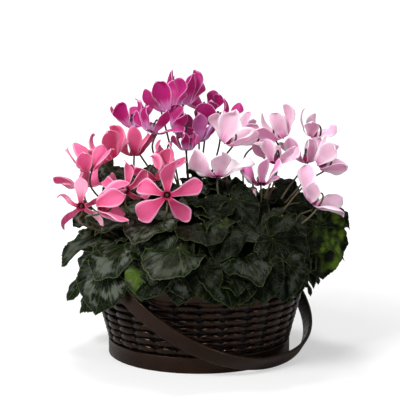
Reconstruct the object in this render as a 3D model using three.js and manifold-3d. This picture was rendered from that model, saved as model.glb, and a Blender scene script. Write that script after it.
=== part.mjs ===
// Three florist's cyclamens, rose, magenta and blush, growing together in a round willow basket
// with a swing handle. Millimetres, +Z up, the origin on the table under the basket's centre,
// the front of the basket towards -Y.

import * as THREE from "three";
import { mergeVertices } from "three/addons/utils/BufferGeometryUtils.js";
import Module from "manifold-3d";

const wasm = await Module();
wasm.setup();

// Driving dimensions

const GAP = 0.3;

const FOOT_RADIUS = 110;
const FOOT_HEIGHT = 19;
const STRIP_THICKNESS = 4;
const FLOOR_THICKNESS = 6;

const WALL_FLARE = 0.26;
const WALL_THICKNESS = 4.5;
const WALL_INSET = 1.5;
const RIM_HEIGHT = 101;
const HOOP_WIDTH = 13;
const HOOP_THICKNESS = 3;
const STAKES = 26;
const WEAVER_ROWS = 15;
const WEAVE_RELIEF = 1.3;

const LINER_THICKNESS = 1;
const LINER_HEIGHT = 86;
const SOIL_HEIGHT = 83;
const SOIL_CROWN = 4;

const PIVOT_RADIUS = 136;
const PIVOT_HEIGHT = 96;
const PIVOT_AZIMUTH = 48.8;
const HANDLE_REACH = 152;
const HANDLE_WIDTH = 19;
const HANDLE_FULLNESS = 2.15;
const HANDLE_TAIL = 9;
const HANDLE_STEPS = 30;
const PIN_SIDES = 8;
const PIN_RADIUS = 2.5;
const BORE_RADIUS = 3;
const PIN_HEAD_RADIUS = 5;
const PIN_HEAD_THICKNESS = 2;

const TUBER_RADIUS = 16;
const TUBER_SIDES = 10;
const TUBER_TOP = 87;
const TUBER_DEPTH = 22;
const STEM_SUNK = 3;

const SHARPEST_MITRE = 0.5;
const LEAF_THICKNESS = 0.9;
const PETIOLE_RADIUS = 1.4;
const STALK_RADIUS = 1.2;
const OUTER_ROOTS = 12;
const ROOT_STEP = 1.3;
const STALK_ROOTS = 3.5;
const PETAL_THICKNESS = 0.7;
const PETAL_BREADTH = 0.6;
const TUBE_RADIUS = 5.4;
const TUBE_HEIGHT = 10;

const RING_SEGMENTS = 2 * STAKES;
const HIDDEN_SEGMENTS = STAKES;

// Small helpers

const radians = THREE.MathUtils.degToRad;

function compass(azimuth, radius, height) {
  const turn = radians(azimuth);
  return new THREE.Vector3(radius * Math.cos(turn), radius * Math.sin(turn), height);
}

// A repeatable draw between -1 and 1 for the given seed.
function draw(seed) {
  const wave = Math.sin(seed * 12.9898) * 43758.5453;
  return 2 * (wave - Math.floor(wave)) - 1;
}

function finish(color, roughness) {
  return new THREE.MeshStandardMaterial({ color, roughness, metalness: 0 });
}

function signedVolume(positions, index) {
  const a = new THREE.Vector3();
  const b = new THREE.Vector3();
  const c = new THREE.Vector3();
  let sum = 0;
  for (let i = 0; i < index.length; i += 3) {
    a.fromArray(positions, 3 * index[i]);
    b.fromArray(positions, 3 * index[i + 1]);
    c.fromArray(positions, 3 * index[i + 2]);
    sum += a.dot(b.cross(c));
  }
  return sum / 6;
}

// Turns a closed three.js geometry into a solid with its faces pointing out.
function toSolid(geometry) {
  const bare = geometry.clone();
  for (const name of Object.keys(bare.attributes)) {
    if (name !== "position") bare.deleteAttribute(name);
  }
  const merged = mergeVertices(bare, 1e-3);
  const positions = Float32Array.from(merged.attributes.position.array);
  const corners = [];
  const source = merged.index.array;
  for (let i = 0; i < source.length; i += 3) {
    const [a, b, c] = [source[i], source[i + 1], source[i + 2]];
    if (a !== b && b !== c && c !== a) corners.push(a, b, c);
  }
  if (signedVolume(positions, corners) < 0) corners.reverse();
  const mesh = new wasm.Mesh({
    numProp: 3,
    vertProperties: positions,
    triVerts: Uint32Array.from(corners),
  });
  return new wasm.Manifold(mesh);
}

function toGeometry(solid) {
  const mesh = solid.getMesh();
  const geometry = new THREE.BufferGeometry();
  geometry.setAttribute("position", new THREE.BufferAttribute(mesh.vertProperties, 3));
  geometry.setIndex(new THREE.BufferAttribute(mesh.triVerts, 1));
  geometry.computeVertexNormals();
  return geometry;
}

// Joins solids that cross into one body, without the sealed pockets that crossing blades enclose.
function fuse(solids) {
  const whole = solids.reduce((joined, next) => joined.add(next));
  return whole.decompose().reduce((body, next) => (next.volume() > body.volume() ? next : body));
}

// A ring or disc turned about the Z axis from [radius, height] profile points.
function turned(profile, segments) {
  const points = profile.map(([radius, height]) => new THREE.Vector2(radius, height));
  return new THREE.LatheGeometry(points, segments).rotateX(Math.PI / 2);
}

function closedRing(profile, segments) {
  return turned([...profile, profile[0]], segments);
}

// A cylinder with its axis along X, from start to end.
function barAlongX(radius, start, end) {
  const bar = new THREE.CylinderGeometry(radius, radius, end - start, PIN_SIDES);
  return bar.rotateZ(Math.PI / 2).translate((start + end) / 2, 0, 0);
}

// A smooth route that is stepped point by point, so that a tight bend keeps its points.
class Route extends THREE.CatmullRomCurve3 {
  getPointAt(part, target) {
    return this.getPoint(part, target);
  }

  getTangentAt(part, target) {
    return this.getTangent(part, target);
  }
}

// A stem along a curve, with three sides.
function stem(curve, radius, steps) {
  const corners = [0, 1, 2].map((k) => {
    const turn = (k * 2 * Math.PI) / 3;
    return new THREE.Vector2(radius * Math.cos(turn), radius * Math.sin(turn));
  });
  const section = new THREE.Shape(corners);
  const options = { extrudePath: curve, steps, bevelEnabled: false };
  return new THREE.ExtrudeGeometry(section, options);
}

// A thin closed blade around a surface of points and triangles, alike on both faces.
function blade(points, triangles, thickness) {
  const normals = points.map(() => new THREE.Vector3());
  const shares = points.map(() => 0);
  const uses = new Map();
  for (const [a, b, c] of triangles) {
    const along = points[b].clone().sub(points[a]);
    const normal = along.cross(points[c].clone().sub(points[a])).normalize();
    for (const corner of [a, b, c]) {
      normals[corner].add(normal);
      shares[corner] += 1;
    }
    for (const [from, to] of [[a, b], [b, c], [c, a]]) {
      if (!uses.delete(`${to},${from}`)) uses.set(`${from},${to}`, [from, to]);
    }
  }
  const positions = [];
  for (const side of [thickness / 2, -thickness / 2]) {
    points.forEach((point, i) => {
      const mitre = Math.max(normals[i].length() / shares[i], SHARPEST_MITRE);
      const offset = normals[i].clone().setLength(side / mitre);
      positions.push(...point.clone().add(offset).toArray());
    });
  }
  const count = points.length;
  const index = [];
  for (const [a, b, c] of triangles) index.push(a, b, c, a + count, c + count, b + count);
  for (const [a, b] of uses.values()) index.push(b, a, a + count, b, a + count, b + count);
  const geometry = new THREE.BufferGeometry();
  geometry.setAttribute("position", new THREE.Float32BufferAttribute(positions, 3));
  geometry.setIndex(index);
  return geometry;
}

// The basket

const darkWillow = 0x2c1e18;

function wallRadius(height) {
  return FOOT_RADIUS - WALL_INSET + WALL_FLARE * (height - FOOT_HEIGHT);
}

const footInside = FOOT_RADIUS - STRIP_THICKNESS;
const wallBottom = FLOOR_THICKNESS + GAP;
const wallFootInside = footInside - GAP - WALL_THICKNESS;
const weaveStart = FOOT_HEIGHT + 2 * GAP;
const hoopBottom = RIM_HEIGHT - HOOP_WIDTH;

function floorGeometry() {
  const radius = footInside - GAP;
  return turned([[0, 0], [radius, 0], [radius, FLOOR_THICKNESS], [0, FLOOR_THICKNESS]], HIDDEN_SEGMENTS);
}

function footBandGeometry() {
  const profile = [
    [footInside, 0],
    [FOOT_RADIUS, 0],
    [FOOT_RADIUS, FOOT_HEIGHT],
    [footInside, FOOT_HEIGHT],
  ];
  return closedRing(profile, RING_SEGMENTS);
}

// Over-and-under weaving: each weaver stands out at every other stake, its neighbours between.
function wovenWallGeometry() {
  const profile = [
    [footInside - GAP, wallBottom],
    [footInside - GAP, FOOT_HEIGHT + GAP],
  ];
  const firstWeaver = profile.length;
  const pitch = (hoopBottom - GAP - weaveStart) / (WEAVER_ROWS - 1);
  for (let row = 0; row < WEAVER_ROWS; row += 1) {
    const height = weaveStart + row * pitch;
    profile.push([wallRadius(height), height]);
  }
  const lastWeaver = profile.length - 1;
  profile.push([wallRadius(RIM_HEIGHT), RIM_HEIGHT]);
  profile.push([wallRadius(RIM_HEIGHT) - WALL_THICKNESS, RIM_HEIGHT]);
  profile.push([wallRadius(weaveStart) - WALL_THICKNESS, weaveStart]);
  profile.push([wallFootInside, wallBottom]);
  const wall = closedRing(profile, RING_SEGMENTS);
  const places = wall.attributes.position;
  const perSlice = profile.length + 1;
  for (let slice = 0; slice <= RING_SEGMENTS; slice += 1) {
    for (let row = firstWeaver; row < lastWeaver; row += 1) {
      const i = slice * perSlice + row;
      const stands = (slice + row) % 2 === 0 ? WEAVE_RELIEF : -WEAVE_RELIEF;
      const scale = 1 + stands / Math.hypot(places.getX(i), places.getY(i));
      places.setXY(i, places.getX(i) * scale, places.getY(i) * scale);
    }
  }
  return wall;
}

function hoopGeometry(offset, segments) {
  const profile = [
    [wallRadius(hoopBottom) + offset, hoopBottom],
    [wallRadius(hoopBottom) + offset + HOOP_THICKNESS, hoopBottom],
    [wallRadius(RIM_HEIGHT) + offset + HOOP_THICKNESS, RIM_HEIGHT],
    [wallRadius(RIM_HEIGHT) + offset, RIM_HEIGHT],
  ];
  return closedRing(profile, segments);
}

const innerHoopOffset = -WALL_THICKNESS - GAP - HOOP_THICKNESS;

// The bore for a pivot pin, through the rim at both ends of the pivot axis.
function pivotBore() {
  const bore = barAlongX(BORE_RADIUS, -PIVOT_RADIUS - HANDLE_WIDTH, PIVOT_RADIUS + HANDLE_WIDTH);
  return bore.rotateZ(radians(PIVOT_AZIMUTH)).translate(0, 0, PIVOT_HEIGHT);
}

function bored(geometry) {
  return toGeometry(toSolid(geometry).subtract(toSolid(pivotBore())));
}

// The liner and the soil in it

const linerBottom = wallBottom;
const soilBottom = linerBottom + LINER_THICKNESS + GAP;

// A straight taper inside the wall, from the floor to the liner's rim.
function linerRadius(height) {
  const foot = wallFootInside - 2 * GAP;
  const rim = wallRadius(LINER_HEIGHT) - WALL_THICKNESS - 2 * GAP;
  return foot + ((rim - foot) * (height - linerBottom)) / (LINER_HEIGHT - linerBottom);
}

function linerGeometry() {
  const floor = linerBottom + LINER_THICKNESS;
  const profile = [
    [0, linerBottom],
    [linerRadius(linerBottom), linerBottom],
    [linerRadius(LINER_HEIGHT), LINER_HEIGHT],
    [linerRadius(LINER_HEIGHT) - LINER_THICKNESS, LINER_HEIGHT],
    [linerRadius(floor) - LINER_THICKNESS, floor],
    [0, floor],
  ];
  return turned(profile, HIDDEN_SEGMENTS);
}

// The handle, a bentwood strip in the shape of a full half ellipse

function handlePoint(turn, offset) {
  const power = 2 / HANDLE_FULLNESS;
  const along = Math.sign(Math.cos(turn)) * Math.abs(Math.cos(turn)) ** power;
  const out = Math.abs(Math.sin(turn)) ** power;
  return new THREE.Vector2((PIVOT_RADIUS + offset) * along, (HANDLE_REACH + offset) * out);
}

function handleGeometry() {
  const half = STRIP_THICKNESS / 2;
  const points = [];
  for (const [offset, from, to] of [[half, 0, 1], [-half, 1, 0]]) {
    const end = PIVOT_RADIUS + offset;
    if (from === 0) points.push(new THREE.Vector2(end, -HANDLE_TAIL));
    else points.push(new THREE.Vector2(-end, -HANDLE_TAIL));
    for (let step = 0; step <= HANDLE_STEPS; step += 1) {
      const part = from + (to - from) * (step / HANDLE_STEPS);
      points.push(handlePoint(part * Math.PI, offset));
    }
    if (from === 0) points.push(new THREE.Vector2(-end, -HANDLE_TAIL));
    else points.push(new THREE.Vector2(end, -HANDLE_TAIL));
  }
  const options = { depth: HANDLE_WIDTH, bevelEnabled: false };
  const strip = new THREE.ExtrudeGeometry(new THREE.Shape(points), options);
  strip.translate(0, 0, -HANDLE_WIDTH / 2);
  const bore = barAlongX(BORE_RADIUS, -PIVOT_RADIUS - HANDLE_WIDTH, PIVOT_RADIUS + HANDLE_WIDTH);
  return toGeometry(toSolid(strip).subtract(toSolid(bore)));
}

// How far the arch hangs below level when its top lies on the table.
function handleDrop() {
  const reach = HANDLE_REACH + STRIP_THICKNESS / 2;
  const half = HANDLE_WIDTH / 2;
  const fall = Math.asin((PIVOT_HEIGHT - GAP) / Math.hypot(reach, half));
  return fall - Math.atan2(half, reach);
}

function pinGeometry() {
  const inside = wallRadius(PIVOT_HEIGHT - PIN_HEAD_RADIUS) + innerHoopOffset - GAP;
  const outside = PIVOT_RADIUS + STRIP_THICKNESS / 2 + GAP;
  const profile = [
    [0, inside - PIN_HEAD_THICKNESS],
    [PIN_HEAD_RADIUS, inside - PIN_HEAD_THICKNESS],
    [PIN_HEAD_RADIUS, inside],
    [PIN_RADIUS, inside],
    [PIN_RADIUS, outside],
    [PIN_HEAD_RADIUS, outside],
    [PIN_HEAD_RADIUS, outside + PIN_HEAD_THICKNESS],
    [0, outside + PIN_HEAD_THICKNESS],
  ];
  return turned(profile, PIN_SIDES).rotateY(Math.PI / 2);
}

// The plants. Each has a tuber in a plain hole in the soil, leaves in rings about the basket's
// axis and flower stalks that hook over into their blooms. Every leaf and bloom has a seed of
// its own, counted from the plant's first one.

const PLANTS = {
  rose: { crown: [-50, -22], petals: 0xee5f93, firstSeed: 100 },
  magenta: { crown: [-6, 52], petals: 0xb0106f, firstSeed: 200 },
  blush: { crown: [54, -18], petals: 0xf2bdd2, firstSeed: 300 },
};

// Rings of leaves from the rim to the crown: the azimuths of each plant's leaves, the radius and
// height of a leaf's base, where the petiole joins, and of its tip, and the most that a blade
// rolls about its midrib, in radians.
const LEAF_RINGS = [
  {
    rose: [151, 180, 209],
    magenta: [63, 91, 119],
    blush: [],
    base: [124, 126],
    tip: [164, 66],
    roll: 0.06,
  },
  {
    rose: [],
    magenta: [],
    blush: [-82, -51, -20, 11],
    base: [120, 133],
    tip: [150, 94],
    roll: 0.06,
  },
  {
    rose: [249],
    magenta: [],
    blush: [],
    base: [116, 141],
    tip: [148, 108],
    roll: 0.06,
  },
  {
    rose: [168, 196, 225, 259],
    magenta: [48, 76, 104, 132],
    blush: [-68, -41, -14, 13],
    base: [112, 149],
    tip: [176, 129],
    roll: 0.1,
  },
  {
    rose: [148, 179, 209, 236],
    magenta: [62, 97],
    blush: [-89, -60, -30, 0, 28],
    base: [84, 171],
    tip: [145, 163],
    roll: 0.12,
  },
  {
    rose: [170, 205, 240],
    magenta: [66, 117],
    blush: [-76, -38, 2],
    base: [50, 184],
    tip: [104, 184],
    roll: 0.15,
  },
  {
    rose: [213],
    magenta: [94],
    blush: [-38],
    base: [25, 200],
    tip: [70, 207],
    roll: 0.15,
  },
];

// Half of a leaf's outline, from the tip round to the notch at the petiole, in leaf lengths.
const LEAF_HALF = [
  [0, 1],
  [0.2, 0.87],
  [0.37, 0.66],
  [0.5, 0.43],
  [0.49, 0.15],
  [0.4, -0.09],
  [0.18, -0.19],
  [0, 0.02],
];
const LEAF_HUB = 0.36;
const LEAF_JOINT = 0.08;
const LEAF_DROOP = 0.16;
const LEAF_CUP = 0.22;
const LEAF_WAVE = 0.04;
const LEAF_WAVES = 4;
const LEAF_TURN = 3;
const LEAF_RISE = 3;
const LEAF_STRETCH = 5;
const LEAF_LEANS_OUT = 0.45;
const PETIOLE_LIFT = 20;
const PETIOLE_ARCH = 6;

// Blooms: the middle of the mouth, the azimuth that the mouth leans towards, the lean from
// straight down, the angle of the petals from the flower's axis, and the petals' length.
const BLOOMS = {
  rose: [
    { mouth: [-104, 2, 235], face: 0, lean: 30, spread: 50, petal: 39 },
    { mouth: [-80, 46, 233], face: -90, lean: 15, spread: 35, petal: 36 },
    { mouth: [-129, -52, 229], face: 120, lean: 15, spread: 35, petal: 34 },
    { mouth: [-136, -8, 203], face: -90, lean: 20, spread: 70, petal: 38 },
    { mouth: [-135, -80, 190], face: -100, lean: 70, spread: 66, petal: 27 },
    { mouth: [-115, -99, 194], face: 180, lean: 80, spread: 28, petal: 37 },
    { mouth: [-44, -46, 219], face: 5, lean: 32, spread: 40, petal: 34 },
    { mouth: [-84, -76, 208], face: -90, lean: 75, spread: 68, petal: 28 },
    { mouth: [-36, -100, 206], face: -90, lean: 80, spread: 74, petal: 34 },
    { mouth: [-43, 1, 226], face: 180, lean: 34, spread: 44, petal: 28 },
  ],
  magenta: [
    { mouth: [-80, 72, 265], face: -60, lean: 15, spread: 40, petal: 38 },
    { mouth: [-37, 48, 288], face: -20, lean: 18, spread: 32, petal: 38 },
    { mouth: [-19, 105, 290], face: -80, lean: 8, spread: 30, petal: 41 },
    { mouth: [-57, 14, 266], face: -130, lean: 30, spread: 62, petal: 32 },
    { mouth: [-30, 38, 263], face: 190, lean: 58, spread: 35, petal: 28 },
    { mouth: [0, 74, 248], face: -90, lean: 25, spread: 28, petal: 33 },
    { mouth: [28, 99, 267], face: -60, lean: 25, spread: 52, petal: 33 },
    { mouth: [-15, 10, 244], face: -90, lean: 10, spread: 26, petal: 24 },
    { mouth: [10, 134, 276], face: 60, lean: 20, spread: 34, petal: 28 },
  ],
  blush: [
    { mouth: [31, -17, 256], face: 180, lean: 35, spread: 38, petal: 38 },
    { mouth: [60, 48, 250], face: 180, lean: 45, spread: 42, petal: 32 },
    { mouth: [22, -56, 222], face: -90, lean: 20, spread: 53, petal: 37 },
    { mouth: [102, 29, 257], face: -10, lean: 25, spread: 40, petal: 37 },
    { mouth: [139, 55, 255], face: 180, lean: 20, spread: 48, petal: 32 },
    { mouth: [90, -8, 231], face: -120, lean: 25, spread: 44, petal: 29 },
    { mouth: [131, 22, 228], face: -80, lean: 15, spread: 42, petal: 36 },
    { mouth: [141, -22, 230], face: 180, lean: 60, spread: 38, petal: 33 },
    { mouth: [73, -37, 210], face: -90, lean: 30, spread: 46, petal: 30 },
    { mouth: [130, -62, 192], face: 180, lean: 42, spread: 54, petal: 37 },
  ],
};

// Petals stand round the flower's axis with the widest gap where the stalk comes up.
const PETAL_AZIMUTHS = [44, 112, 180, 248, 316];

// A petal's rows: the share of its length, and its half breadth as a share of the full one.
const PETAL_WIDEST = { at: 0.64, half: 1 };
const PETAL_TIP = { at: 0.97, half: 0.55 };
const PETAL_ROOT_SPREAD = 24;
const PETAL_BULGE = 0.1;
const PETAL_CAMBER = 0.14;
const PETAL_TWIST = 0.5;
const PETAL_SWAY = 7;
const PETAL_TURN = 5;
const PETAL_STRETCH = 0.08;

// A flower stalk's hook over the calyx: how far aside of the flower's axis, and above its mouth.
const STALK_HOOK = [
  [11, -16],
  [10, 3],
  [5, TUBE_HEIGHT + 6],
  [0, TUBE_HEIGHT + 4],
  [0, TUBE_HEIGHT + 2 * GAP],
];
const STALK_ARCH = 0.12;

const leafGreen = 0x2b3d24;
const tuberBrown = 0x4a3a2c;

function tuberGeometry(plant) {
  const bottom = TUBER_TOP - TUBER_DEPTH;
  const profile = [
    [0, bottom],
    [0.6 * TUBER_RADIUS, bottom],
    [TUBER_RADIUS, TUBER_TOP - 0.5 * TUBER_DEPTH],
    [0.85 * TUBER_RADIUS, TUBER_TOP],
    [0, TUBER_TOP],
  ];
  return turned(profile, TUBER_SIDES).translate(...plant.crown, 0);
}

// Where a stem leaves the top of the tuber on its way to a far point.
function stemRoot(plant, target, radius) {
  const crown = new THREE.Vector3(...plant.crown, target.z);
  const root = target.clone().sub(crown).setLength(radius).add(crown);
  return root.setZ(TUBER_TOP - STEM_SUNK);
}

// A leaf's place: its base and tip, both moved a little by a seeded draw, and its two axes.
function leafPlace(ring, azimuth, seed) {
  const heading = azimuth + LEAF_TURN * draw(seed);
  const rise = LEAF_RISE * draw(seed + 0.3);
  const stretch = LEAF_STRETCH * draw(seed + 0.6);
  const base = compass(azimuth, ring.base[0], ring.base[1] + rise);
  const tip = compass(heading, ring.tip[0] + stretch, ring.tip[1] + rise);
  const length = base.distanceTo(tip);
  const forward = tip.clone().sub(base).normalize();
  const outward = compass(azimuth, LEAF_LEANS_OUT, 1);
  outward.addScaledVector(forward, -outward.dot(forward)).normalize();
  outward.applyAxisAngle(forward, ring.roll * draw(seed + 0.9));
  const across = forward.clone().cross(outward);
  return { base, length, forward, outward, across, seed };
}

function leafLift(x, y, seed) {
  const wave = LEAF_WAVE * Math.hypot(x, y - LEAF_HUB) * 2;
  const ripple = Math.sin(LEAF_WAVES * Math.atan2(x, y - LEAF_HUB) + seed);
  return LEAF_CUP * Math.abs(x) * (0.5 - Math.abs(x)) - LEAF_DROOP * y * y + wave * ripple;
}

function leafPoint(place, x, y) {
  const point = place.base.clone();
  point.addScaledVector(place.across, x * place.length);
  point.addScaledVector(place.forward, y * place.length);
  point.addScaledVector(place.outward, leafLift(x, y, place.seed) * place.length);
  return point;
}

function leafGeometry(place) {
  const left = LEAF_HALF.slice(1, -1).reverse().map(([x, y]) => [-x, y]);
  const outline = [...LEAF_HALF, ...left];
  const points = [leafPoint(place, 0, LEAF_HUB)];
  for (const [x, y] of outline) points.push(leafPoint(place, x, y));
  const triangles = outline.map((_, k) => [0, 1 + ((k + 1) % outline.length), 1 + k]);
  return blade(points, triangles, LEAF_THICKNESS);
}

function petioleGeometry(plant, place, level) {
  const joint = leafPoint(place, 0, LEAF_JOINT);
  const root = stemRoot(plant, joint, OUTER_ROOTS - ROOT_STEP * level);
  const bend = root.clone().lerp(joint, 0.4);
  bend.z = Math.max(joint.z, bend.z + PETIOLE_LIFT) + PETIOLE_ARCH;
  return stem(new THREE.QuadraticBezierCurve3(root, bend, joint), PETIOLE_RADIUS, 3);
}

// A flower's frame: up runs from the mouth to the calyx, side points to where the stalk stands.
function bloomFrame(bloom) {
  const lean = radians(bloom.lean);
  const face = compass(bloom.face, 1, 0);
  const up = face.clone().multiplyScalar(-Math.sin(lean));
  up.z = Math.cos(lean);
  const side = face.clone().multiplyScalar(-Math.cos(lean));
  side.z = -Math.sin(lean);
  return { mouth: new THREE.Vector3(...bloom.mouth), up, side, third: up.clone().cross(side) };
}

function frameOffset(frame, side, up) {
  return frame.mouth.clone().addScaledVector(frame.side, side).addScaledVector(frame.up, up);
}

function stalkGeometry(plant, bloom) {
  const frame = bloomFrame(bloom);
  const hook = STALK_HOOK.map(([side, up]) => frameOffset(frame, side, up));
  const root = stemRoot(plant, hook[0], STALK_ROOTS);
  const bend = root.clone().lerp(hook[0], 0.5);
  bend.z += STALK_ARCH * root.distanceTo(hook[0]);
  const route = [root, bend, ...hook];
  return stem(new Route(route), STALK_RADIUS, route.length - 1);
}

function petalPoint(frame, bloom, azimuth, seed, row, across, camber) {
  const turn = radians(azimuth);
  const spread = radians(bloom.spread + PETAL_SWAY * draw(seed));
  const length = bloom.petal * (1 + PETAL_STRETCH * draw(seed + 0.2));
  const out = frame.side.clone().multiplyScalar(Math.cos(turn));
  out.addScaledVector(frame.third, Math.sin(turn));
  const breadth = frame.up.clone().cross(out);
  const along = frame.up.clone().multiplyScalar(Math.cos(spread));
  along.addScaledVector(out, Math.sin(spread));
  const twist = PETAL_TWIST * draw(seed + 0.4) * row.at;
  const width = breadth.clone().applyAxisAngle(along, twist);
  const lift = width.clone().cross(along);
  const point = frame.mouth.clone();
  point.addScaledVector(out, TUBE_RADIUS + length * PETAL_BULGE * Math.sin(Math.PI * row.at));
  point.addScaledVector(along, length * row.at);
  point.addScaledVector(width, across * row.half * length * PETAL_BREADTH * 0.5);
  return point.addScaledVector(lift, camber * length * PETAL_BREADTH);
}

// A corolla: a small tube, open at the mouth, with its five petals turned back from the rim.
function bloomGeometry(bloom, seed) {
  const frame = bloomFrame(bloom);
  const points = [frameOffset(frame, 0, TUBE_HEIGHT)];
  const triangles = [];
  PETAL_AZIMUTHS.forEach((middle, k) => {
    const azimuth = middle + PETAL_TURN * draw(seed + 0.17 * k);
    const at = (row, across, camber) => petalPoint(frame, bloom, azimuth, seed + k, row, across, camber);
    const first = points.length;
    for (const side of [-PETAL_ROOT_SPREAD, PETAL_ROOT_SPREAD]) {
      const turn = radians(azimuth + side);
      const root = frameOffset(frame, TUBE_RADIUS * Math.cos(turn), 0);
      points.push(root.addScaledVector(frame.third, TUBE_RADIUS * Math.sin(turn)));
    }
    points.push(at(PETAL_WIDEST, -1, 0), at(PETAL_WIDEST, 0, -PETAL_CAMBER), at(PETAL_WIDEST, 1, 0));
    points.push(at(PETAL_TIP, -1, 0), at(PETAL_TIP, 1, 0));
    const petal = [[0, 1, 3], [0, 3, 2], [1, 4, 3], [2, 3, 5], [3, 6, 5], [3, 4, 6]];
    for (const corners of petal) triangles.push(corners.map((corner) => corner + first));
    const nextFirst = k + 1 < PETAL_AZIMUTHS.length ? first + 7 : 1;
    triangles.push([0, first + 1, first], [0, nextFirst, first + 1]);
  });
  return blade(points, triangles, PETAL_THICKNESS);
}

function plantGeometry(name) {
  const plant = PLANTS[name];
  const pieces = [toSolid(tuberGeometry(plant))];
  LEAF_RINGS.forEach((ring, level) => {
    ring[name].forEach((azimuth, k) => {
      const place = leafPlace(ring, azimuth, plant.firstSeed + 10 * level + k);
      pieces.push(toSolid(petioleGeometry(plant, place, level)).add(toSolid(leafGeometry(place))));
    });
  });
  for (const bloom of BLOOMS[name]) pieces.push(toSolid(stalkGeometry(plant, bloom)));
  return toGeometry(fuse(pieces));
}

function soilGeometry() {
  const edge = (height) => linerRadius(height) - LINER_THICKNESS - GAP;
  const shoulder = SOIL_HEIGHT - SOIL_CROWN;
  const profile = [
    [0, soilBottom],
    [edge(soilBottom), soilBottom],
    [edge(shoulder), shoulder],
    [edge(shoulder) - 4 * SOIL_CROWN, SOIL_HEIGHT],
    [0, SOIL_HEIGHT],
  ];
  let soil = toSolid(turned(profile, HIDDEN_SEGMENTS));
  const floor = TUBER_TOP - TUBER_DEPTH - GAP;
  const radius = TUBER_RADIUS + 3 * GAP;
  for (const plant of Object.values(PLANTS)) {
    const hole = new THREE.CylinderGeometry(radius, radius, TUBER_DEPTH, TUBER_SIDES);
    hole.rotateX(Math.PI / 2).translate(...plant.crown, floor + TUBER_DEPTH / 2);
    soil = soil.subtract(toSolid(hole));
  }
  return toGeometry(soil);
}

// The assembly

const model = new THREE.Group();

function place(name, geometry, color, roughness, parent = model) {
  const mesh = new THREE.Mesh(geometry, finish(color, roughness));
  mesh.name = name;
  parent.add(mesh);
  return mesh;
}

const linerGreen = 0x1d211c;
const soilBrown = 0x2b211a;
const pinIron = 0x2a2320;

place("basket_floor", floorGeometry(), darkWillow, 0.7);
place("foot_band", footBandGeometry(), darkWillow, 0.45);
place("woven_wall", bored(wovenWallGeometry()), darkWillow, 0.45);
place("rim_hoop_outer", bored(hoopGeometry(GAP, RING_SEGMENTS)), darkWillow, 0.45);
place("rim_hoop_inner", bored(hoopGeometry(innerHoopOffset, HIDDEN_SEGMENTS)), darkWillow, 0.5);
place("liner", linerGeometry(), linerGreen, 0.5);
place("soil", soilGeometry(), soilBrown, 0.95);

const handleFrame = new THREE.Group();
handleFrame.position.set(0, 0, PIVOT_HEIGHT);
handleFrame.rotation.set(0, 0, radians(PIVOT_AZIMUTH));
model.add(handleFrame);
const handle = place("handle", handleGeometry(), darkWillow, 0.4, handleFrame);
handle.rotation.x = Math.PI + handleDrop();
place("pivot_pin_back", pinGeometry(), pinIron, 0.4, handleFrame);
const frontPin = place("pivot_pin_front", pinGeometry(), pinIron, 0.4, handleFrame);
frontPin.rotation.z = Math.PI;

for (const [name, plant] of Object.entries(PLANTS)) {
  place(`plant_${name}`, plantGeometry(name), leafGreen, 0.6);
  BLOOMS[name].forEach((bloom, k) => {
    const number = String(k + 1).padStart(2, "0");
    const seed = plant.firstSeed + 50 + 10 * k;
    place(`bloom_${name}_${number}`, bloomGeometry(bloom, seed), plant.petals, 0.6);
  });
}

export default model;
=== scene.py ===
"""Three florist's cyclamens in a round willow basket with a swing handle: the finished looks.

Sizes are in millimetres, the unit that the part is drawn in, and each mesh becomes metres when it is
published as a piece. Leaves and blooms stand where the part's own rules put them, so the same rules
are written out here and carried further, down to teeth, veins and ruffles.
"""
import logging
import math
from collections.abc import Callable
from dataclasses import dataclass
from enum import Enum

import bmesh
import bpy
from mathutils import Matrix, Vector, noise


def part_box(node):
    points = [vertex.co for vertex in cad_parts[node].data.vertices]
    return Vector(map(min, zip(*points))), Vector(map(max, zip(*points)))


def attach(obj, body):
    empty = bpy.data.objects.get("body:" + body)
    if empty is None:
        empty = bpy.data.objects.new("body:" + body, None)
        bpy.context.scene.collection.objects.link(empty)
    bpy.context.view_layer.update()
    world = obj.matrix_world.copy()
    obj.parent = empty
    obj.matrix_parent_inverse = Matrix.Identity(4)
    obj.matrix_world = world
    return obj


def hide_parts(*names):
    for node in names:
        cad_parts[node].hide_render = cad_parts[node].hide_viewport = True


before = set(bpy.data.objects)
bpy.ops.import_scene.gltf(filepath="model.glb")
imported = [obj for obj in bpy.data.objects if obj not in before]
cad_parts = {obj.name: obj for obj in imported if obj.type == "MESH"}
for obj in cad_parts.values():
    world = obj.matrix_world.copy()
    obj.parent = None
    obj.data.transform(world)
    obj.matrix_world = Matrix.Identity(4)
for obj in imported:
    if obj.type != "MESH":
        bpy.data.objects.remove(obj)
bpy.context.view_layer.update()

LOG = logging.getLogger("cyclamen_basket")

MM = 0.001
GAP = 0.3
LEAST_STRETCH = 1e-4
ROUNDING_STEPS = 3
PLANTER = "planter"
SWING_HANDLE = "swing_handle"

Colour = tuple[float, float, float]
Outline = list[tuple[float, float]]
Spot = tuple[Vector, Vector]
Place = Callable[[float, float], Spot]
Sockets = dict[str, bpy.types.NodeSocket]


class Cultivar(Enum):
    """The three plants, by the colour of their petals."""

    ROSE = "rose"
    MAGENTA = "magenta"
    BLUSH = "blush"


# Small helpers


def draw(seed: float) -> float:
    """Gives a repeatable draw between -1 and 1.

    Args:
        seed: any number.

    Returns:
        The draw that belongs to the seed.
    """
    wave = math.sin(seed * 12.9898) * 43758.5453
    return 2 * (wave - math.floor(wave)) - 1


def compass(azimuth: float, radius: float, height: float) -> Vector:
    """Gives the point at an azimuth in degrees, a radius from the basket's axis and a height."""
    turn = math.radians(azimuth)
    return Vector((radius * math.cos(turn), radius * math.sin(turn), height))


def smooth_step(low: float, high: float, value: float) -> float:
    """Gives a smooth rise from 0 at low to 1 at high."""
    share = min(max((value - low) / (high - low), 0.0), 1.0)
    return share * share * (3 - 2 * share)


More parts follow.
